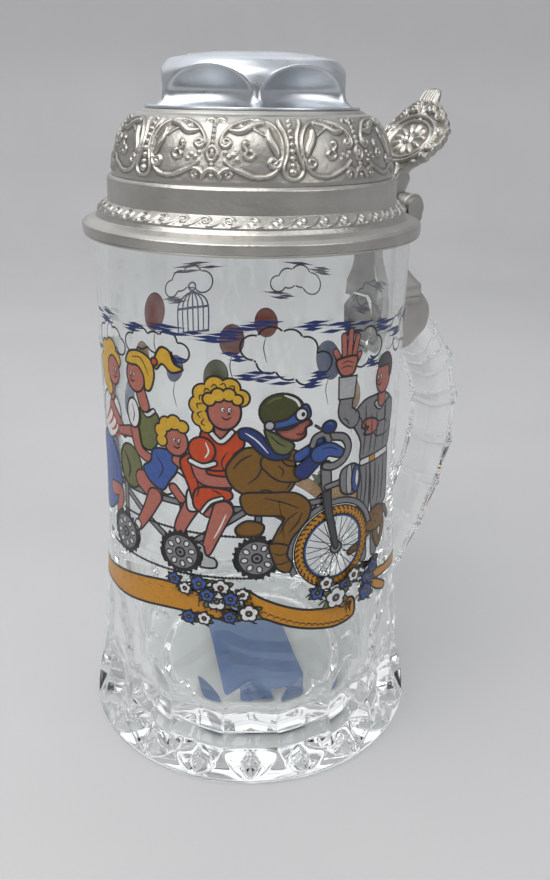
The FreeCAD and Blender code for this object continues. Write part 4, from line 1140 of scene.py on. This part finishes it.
def lid_knob():
    """The fuel-cap knob: a domed crown with six arched finger scoops and a ringed top."""
    base = PLATE_TOP
    crown = rounded([
        (2.0, base), (KNOB_RADIUS - 0.3, base, 0.2), (KNOB_RADIUS, base + 0.3, 0.2),
        (KNOB_RADIUS - 0.1, base + 0.7, 0.4), (25.7, base + 1.9, 2.5), (24.9, base + 5.5, 12),
        (24.0, base + 8.6, 5), (21.4, base + 11.5, 3.5), (17.6, base + 12.2, 1.5), (17.2, base + 12.0, 0.3),
        (16.8, base + 12.25, 0.3), (10.0, base + 12.9, 3), (0.3, KNOB_CROWN - 0.1)], 0.32)

    def scoops(phi, radius, height):
        """Six round cuts that lean outward above their lowest line and sweep out to the foot below it."""
        first, low, sweep = math.radians(29.0), base + 4.8, 5.2
        cutter, away, lean = 24.0, 43.0, math.tan(math.radians(36.0))
        turn = (phi - first + math.pi / 6) % (math.pi / 3) - math.pi / 6
        above = height - low
        reach = away + (np.sqrt(above**2 + 1.7) + above) / 2 * lean
        under = cutter**2 - (reach * np.sin(turn)) ** 2
        wall = np.where(under > 0, reach * np.cos(turn) - np.sqrt(np.clip(under, 0, None)), 60.0)
        below = np.clip((low - height) / (low - base), 0, 1)
        wall = wall + sweep * (1 - np.sqrt(1 - below**2))
        side = (height > base + 0.75) & (radius > 17.5)
        cut = smooth_min(wall, radius, 0.7) - radius
        return np.where(side, np.minimum(cut, 0), 0)

    def emboss(phi, radius, height):
        """Two wavy bands that cross between two rings on the flat top."""
        top = (height > base + 12.0) & (radius < 16.6) & (radius > 11.4)
        band = np.abs(radius - 14.0 - 1.5 * np.sin(phi * 12)) < 0.35
        twin = np.abs(radius - 14.0 + 1.5 * np.sin(phi * 12)) < 0.35
        rings = (np.abs(radius - 11.9) < 0.3) | (np.abs(radius - 16.2) < 0.3)
        return np.where(top & (band | twin | rings), 0.28, 0.0)

    columns = 288
    phi = np.repeat(np.arange(columns)[None] * TAU / columns, len(crown), 0)
    radius, height = (np.repeat(crown[:, i : i + 1], columns, 1) for i in (0, 1))
    height = height + emboss(phi, radius, height)
    radius = radius + scoops(phi, radius, height)
    item = new_object("lid_knob_cast", turned(radius, height), ring_faces(len(crown), columns), "lid")
    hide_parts("lid_knob")
    paint(item, knob_material())


def plate_relief(y, v, tall):
    """Relief of the thumb plate: a daisy in an oval, scrolls round it and a fluted tip."""
    grid, field = (y, v), np.zeros_like(y)
    middle = 0.52 * tall
    for k in range(11):
        a = k * TAU / 11 + 0.14
        path = [(1.2 * r * math.cos(a), middle + r * math.sin(a)) for r in np.linspace(2.3, 5.0, 9)]
        raised(field, grid, path, 0.85, 0.75, True)
    raised(field, grid, ellipse(0, middle, 1.15, count=30), 0.5, 0.95)
    raised(field, grid, ellipse(0, middle, 8.0, 6.2, count=120), 0.45, 0.7)
    raised(field, grid, ellipse(0, middle, 9.7, 7.6, count=140), 0.55, 0.95)
    for side in (-1, 1):
        for x, h, radius, start in ((10.6, 0.47, 1.5, 200), (10.2, 0.62, 1.4, 150), (7.6, 0.74, 1.6, 100),
                                    (3.6, 0.80, 1.5, 60), (9.0, 0.36, 1.3, 240)):
            curl = spiral((0, 0), radius, start, 1.2)
            raised(field, grid, curl * (side, 1) + (side * x, h * tall), 0.42, 0.8)
        for points in ([(0.6, 0.74), (2.4, 0.79), (5.6, 0.77)], [(0.4, 0.78), (1.6, 0.84), (3.0, 0.88)],
                       [(3.0, 0.05), (3.0, 0.2), (6.8, 0.32)], [(0.2, 0.30), (2.2, 0.22), (2.4, 0.08)]):
            raised(field, grid, curve([(side * x, h * tall) for x, h in points], 12), 0.42, 0.7)
        raised(field, grid, curve([(side * 2.9, 0.86 * tall), (side * 2.7, 0.97 * tall)], 12), 0.5, 0.7)
    raised(field, grid, curve([(0, 0.72 * tall), (0, 0.82 * tall)], 12), 0.9, 0.8, True)
    for x in (-1.5, -0.5, 0.5, 1.5):
        raised(field, grid, curve([(x, 0.87 * tall), (x * 1.05, 0.975 * tall)], 12), 0.36, 0.5)
    return field


def thumblift(metal):
    """The S-curved thumb plate with its embossed front, and the lug behind its neck."""
    front = curve([(44.8, 153.0), (48.2, 159.4), (52.2, 165.6), (57.4, 172.2), (60.4, 178.2),
                   (63.4, 182.3)], 22)
    travel = np.concatenate([[0], np.cumsum(np.linalg.norm(np.diff(front, axis=0), axis=1))])
    ahead = np.gradient(front, axis=0)
    ahead /= np.linalg.norm(ahead, axis=1, keepdims=True)
    normal = np.stack([-ahead[:, 1], ahead[:, 0]], -1)
    z = front[:, 1]
    half = np.interp(z, [153, 159.5, 161.5, 164, 168.6, 172, 175, 177.4, 179, 180.6, 181.8, 182.3],
                     [3.6, 3.6, 5.4, 10.4, 13.6, 12.8, 9.6, 6.6, 3.9, 3.5, 2.8, 1.4])
    half = half + 0.3 * np.sin(travel * 2.6) * ((z > 163) & (z < 178))
    thick = np.interp(z, [153, 157, 160.5, 163, 172, 180, 182.3], [7.2, 7.0, 4.4, 3.0, 2.6, 2.2, 1.4])
    level = np.clip((z - 158) / 5, 0, 1)[:, None]
    back_way = np.array([[1.0, 0.0]]) * (1 - level) - normal * level
    t = np.sin(np.linspace(-1, 1, 101) * math.pi / 2)
    y = half[:, None] * t
    v = np.repeat(travel[:, None], len(t), 1)
    relief = plate_relief(y, v, travel[-1])
    edge = (np.clip(1 - np.abs(t), 0, 1) * half[:, None]) / 1.1
    soft = np.sqrt(np.clip(1 - np.clip(1 - edge, 0, 1) ** 2, 0, 1))
    lift = (relief - 0.5) * np.clip(edge * 2, 0, 1)
    face = front[:, None, :] + normal[:, None, :] * (lift - 0.6 * (1 - soft))[..., None]
    rear = front[:, None, :] + back_way[:, None, :] * (thick[:, None] * (0.45 + 0.55 * soft))[..., None]
    rings = np.concatenate([
        np.stack([face[..., 0], y, face[..., 1]], -1),
        np.stack([rear[:, ::-1, 0], y[:, ::-1], rear[:, ::-1, 1]], -1)], 1)
    item = new_object("thumblift_cast", rings.reshape(-1, 3), ring_faces(*rings.shape[:2]), "lid")
    tone = np.ones(rings.shape[:2])
    tone[:, : len(t)] = np.clip(relief / 0.5, 0, 1) * np.clip(edge, 0, 1) + 1 - np.clip(edge, 0, 1)
    set_heights(item, "relief", tone)
    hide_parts("thumblift")
    paint(item, metal)


def block(outline, low, high, soft):
    """An (x, z) outline drawn out along y, with the edges of its two ends rounded."""
    outline = np.asarray(outline)
    middle = outline.mean(0)
    size = np.linalg.norm(outline - middle, axis=1).mean()
    rings = []
    turns = np.linspace(0, math.pi / 2, 7)
    ends = [(low + soft * (1 - math.sin(a)), soft * (1 - math.cos(a))) for a in turns[::-1]]
    ends += [(high - soft * (1 - math.sin(a)), soft * (1 - math.cos(a))) for a in turns]
    for y, inset in ends:
        ring = middle + (outline - middle) * (1 - inset / size)
        rings.append(np.stack([ring[:, 0], np.full(len(ring), y), ring[:, 1]], -1))
    return np.concatenate(rings), ring_faces(len(rings), len(outline))


def strap_shank():
    """The stepped neck that rises from the barrel to the knuckles, waisted halfway up."""
    z = np.array([122.0, 126.4, 126.9, 127.4, 128.4, 130.5, 133.5, 137.0, 141.0, 144.6])
    outer = np.interp(z, [122, 126.6, 127.0, 127.8, 131, 135, 139, 144.6],
                      [56.4, 56.4, 56.0, 55.2, 52.9, 51.2, 50.5, 50.4])
    half = np.interp(z, [122, 126.6, 127.0, 127.8, 131, 136, 141, 144.6],
                     [9.2, 9.2, 8.8, 8.3, 6.4, 5.2, 6.4, 8.4])
    rings, count = [], 60
    for height, x, y in zip(z, outer, half):
        inner = 43.6 if height < 140 else 45.8
        section = rounded([(inner, -y), (x, -y, 1.4), (x, y, 1.4), (inner, y)], 0.7, closed=True)
        spot = np.linspace(0, len(section), count, endpoint=False)
        x_line, y_line = (np.interp(spot, np.arange(len(section) + 1), np.append(line, line[0]))
                          for line in section.T)
        rings.append(np.stack([x_line, y_line, np.full(count, height)], -1))
    return np.concatenate(rings), ring_faces(len(rings), count)


def handle_strap(metal):
    """The barrel-shaped strap round the handle, its shank and the two outer knuckles."""
    barrel = rounded([(46.8, 105.8), (53.0, 106.6, 5), (60.4, 112.2, 6), (61.9, 119.0, 6), (57.4, 124.8, 5),
                      (46.8, 124.8)], 0.6, closed=True)
    fork = rounded([(46.6, 141.0), (50.4, 141.0), (54.4, 146.5, 2), (54.4, 149.5),
                    (46.6, 149.5)], 0.6, closed=True)
    knuckle = ellipse(PIN_X, PIN_Z, 4.15, count=40)
    parts = [block(barrel, -10.1, 10.1, 4.4)]
    for low, high in ((-8.6, -3.95), (3.95, 8.6)):
        parts += [block(fork, low, high, 0.4), block(knuckle, low, high, 0.4)]
    parts.append(strap_shank())
    faces, count = [], 0
    for points, own_faces in parts:
        faces += [[count + i for i in face] for face in own_faces]
        count += len(points)
    vertices = np.concatenate([points for points, _ in parts])
    item = new_object("handle_strap_cast", vertices, faces, "mug")
    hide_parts("handle_strap")
    paint(item, metal)


def hardware(pewter):
    """The CAD castings and fixings that keep their own shape, with their edges softened."""
    steel = cast_material("pin_steel_satin", STEEL, grain=1800.0)
    finish = {"lid_tang": pewter, "pin_end_caps": pewter, "hinge_pin": steel, "knob_screw": steel,
              "knob_washer": steel}
    for name, metal in finish.items():
        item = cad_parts[name]
        paint(item, metal)
        soft = item.modifiers.new("soft_edges", "BEVEL")
        soft.width = 0.35 * MM
        soft.segments = 3
        soft.limit_method = "ANGLE"
        soft.angle_limit = math.radians(35)
        soft.harden_normals = True


# --- stage, light and camera ------------------------------------------------------------------

def stage():
    """A pale round floor that curves up into a wall, which is a darker grey on the viewer's side."""
    outline = rounded([(0.3, -0.02), (700, -0.02), (900, 40, 160), (1000, 200, 160), (1020, 900)], 40)
    made = lathe("stage_floor", outline, 96)
    shell = bmesh.new()
    shell.from_mesh(made.data)
    roof = [face for face in shell.faces if len(face.verts) > 4 and face.calc_center_median().z > 0.5]
    bmesh.ops.delete(shell, context="FACES", geom=roof)
    viewer = Vector((math.cos(math.radians(FRONT)), math.sin(math.radians(FRONT)), 0))
    shade = [min(1, max(0, (v.co.dot(viewer) + 0.3) / 1.1)) * min(1, max(0, v.co.z / 0.25))
             for v in shell.verts]
    shell.to_mesh(made.data)
    shell.free()
    set_heights(made, "shade", shade)
    cloth = Shader("pale_floor", Roughness=0.75)
    pale = cloth.ramp(cloth.noise(9.0, 3.0), (0.3, (0.50, 0.50, 0.51)), (0.7, (0.53, 0.53, 0.535)))
    dusk = cloth.node("Attribute", attribute_name="shade").outputs["Fac"]
    cloth.feed("Base Color", cloth.mix(dusk, pale, (0.13, 0.13, 0.135)))
    paint(made, cloth)


def soft_light(name, azimuth, elevation, size, power, tint=(1, 1, 1)):
    """A square softbox, 0.9 m off, that faces the middle of the mug."""
    lamp = bpy.data.lights.new(name, "AREA")
    lamp.size = size
    lamp.energy = power
    lamp.color = tint
    item = bpy.data.objects.new(name, lamp)
    a, e = math.radians(azimuth), math.radians(elevation)
    offset = Vector((math.cos(a) * math.cos(e), math.sin(a) * math.cos(e), math.sin(e))) * 0.9
    item.location = Vector((0, 0, 0.09)) + offset
    item.rotation_euler = offset.to_track_quat("Z", "Y").to_euler()
    bpy.context.scene.collection.objects.link(item)


def lights():
    """A bright soft room above and behind the mug, and a darker one on the viewer's side."""
    world = bpy.data.worlds.new("studio")
    world.use_nodes = True
    tree = world.node_tree
    where = tree.nodes.new("ShaderNodeTexCoord")
    height = tree.nodes.new("ShaderNodeSeparateXYZ")
    tone = tree.nodes.new("ShaderNodeValToRGB")
    low, high = tone.color_ramp.elements
    low.position, low.color = 0.0, (0.20, 0.20, 0.21, 1)
    high.position, high.color = 0.75, (0.95, 0.97, 1.0, 1)
    tree.links.new(where.outputs["Generated"], height.inputs[0])
    tree.links.new(height.outputs["Z"], tone.inputs[0])
    tree.links.new(tone.outputs["Color"], tree.nodes["Background"].inputs["Color"])
    tree.nodes["Background"].inputs["Strength"].default_value = 0.68
    bpy.context.scene.world = world
    soft_light("key", 195, 55, 0.8, 6.6, (1.0, 0.985, 0.96))
    soft_light("side", 285, 35, 0.5, 1.8)
    soft_light("back", 75, 50, 1.1, 2.2, (0.97, 0.98, 1.0))
    bpy.context.scene.view_settings.view_transform = "Standard"
    paths = bpy.context.scene.cycles
    paths.max_bounces, paths.glossy_bounces, paths.transmission_bounces = 32, 24, 32


def camera():
    """A near view from the riders' side, looking down."""
    distance, height = 0.23484, 0.18027
    azimuth, pitch, yaw, roll = (math.radians(v) for v in (33.0, 22.18, 1.684, 0.80))
    across = Vector((math.cos(azimuth), -math.sin(azimuth), 0))
    ahead = Vector((math.sin(azimuth), math.cos(azimuth), 0))
    forward = (across * math.sin(yaw) + ahead * math.cos(yaw)) * math.cos(pitch)
    forward.z = -math.sin(pitch)
    right = across * math.cos(yaw) - ahead * math.sin(yaw)
    up = right.cross(forward)
    right, up = (right * math.cos(roll) + up * math.sin(roll),
                 up * math.cos(roll) - right * math.sin(roll))
    lens = bpy.data.cameras.new("camera")
    lens.sensor_width = 36
    lens.lens = 34.88
    lens.clip_start = 0.01
    item = bpy.data.objects.new("camera", lens)
    item.matrix_world = Matrix((
        (right.x, up.x, -forward.x, -ahead.x * distance),
        (right.y, up.y, -forward.y, -ahead.y * distance),
        (right.z, up.z, -forward.z, height),
        (0, 0, 0, 1)))
    bpy.context.scene.collection.objects.link(item)
    bpy.context.scene.camera = item


def label_and_lining():
    """The blue film under the foot and the dark packing inside the strap, which keep the CAD's shape."""
    for node, name, roughness, shine, grain, dark, light in (
        ("base_label", "label_film", 0.6, 0.05, (120.0, 3.0), (0.008, 0.075, 0.24), (0.014, 0.10, 0.30)),
        ("strap_lining", "strap_packing", 0.8, 0.5, (300.0, 4.0), (0.03, 0.02, 0.015), (0.07, 0.05, 0.04)),
    ):
        made = Shader(name, Roughness=roughness, Specular_IOR_Level=shine)
        made.feed("Base Color", made.ramp(made.noise(*grain), (0.3, dark), (0.7, light)))
        paint(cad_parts[node], made)


def main():
    pewter = cast_material("pewter_satin", PEWTER)
    antique = cast_material("pewter_antique", PEWTER, relief=True)
    glass()
    enamel_picture()
    lid_rim(antique)
    lid_dome(antique)
    lid_knob()
    thumblift(antique)
    handle_strap(pewter)
    hardware(pewter)
    label_and_lining()
    stage()
    lights()
    camera()


main()
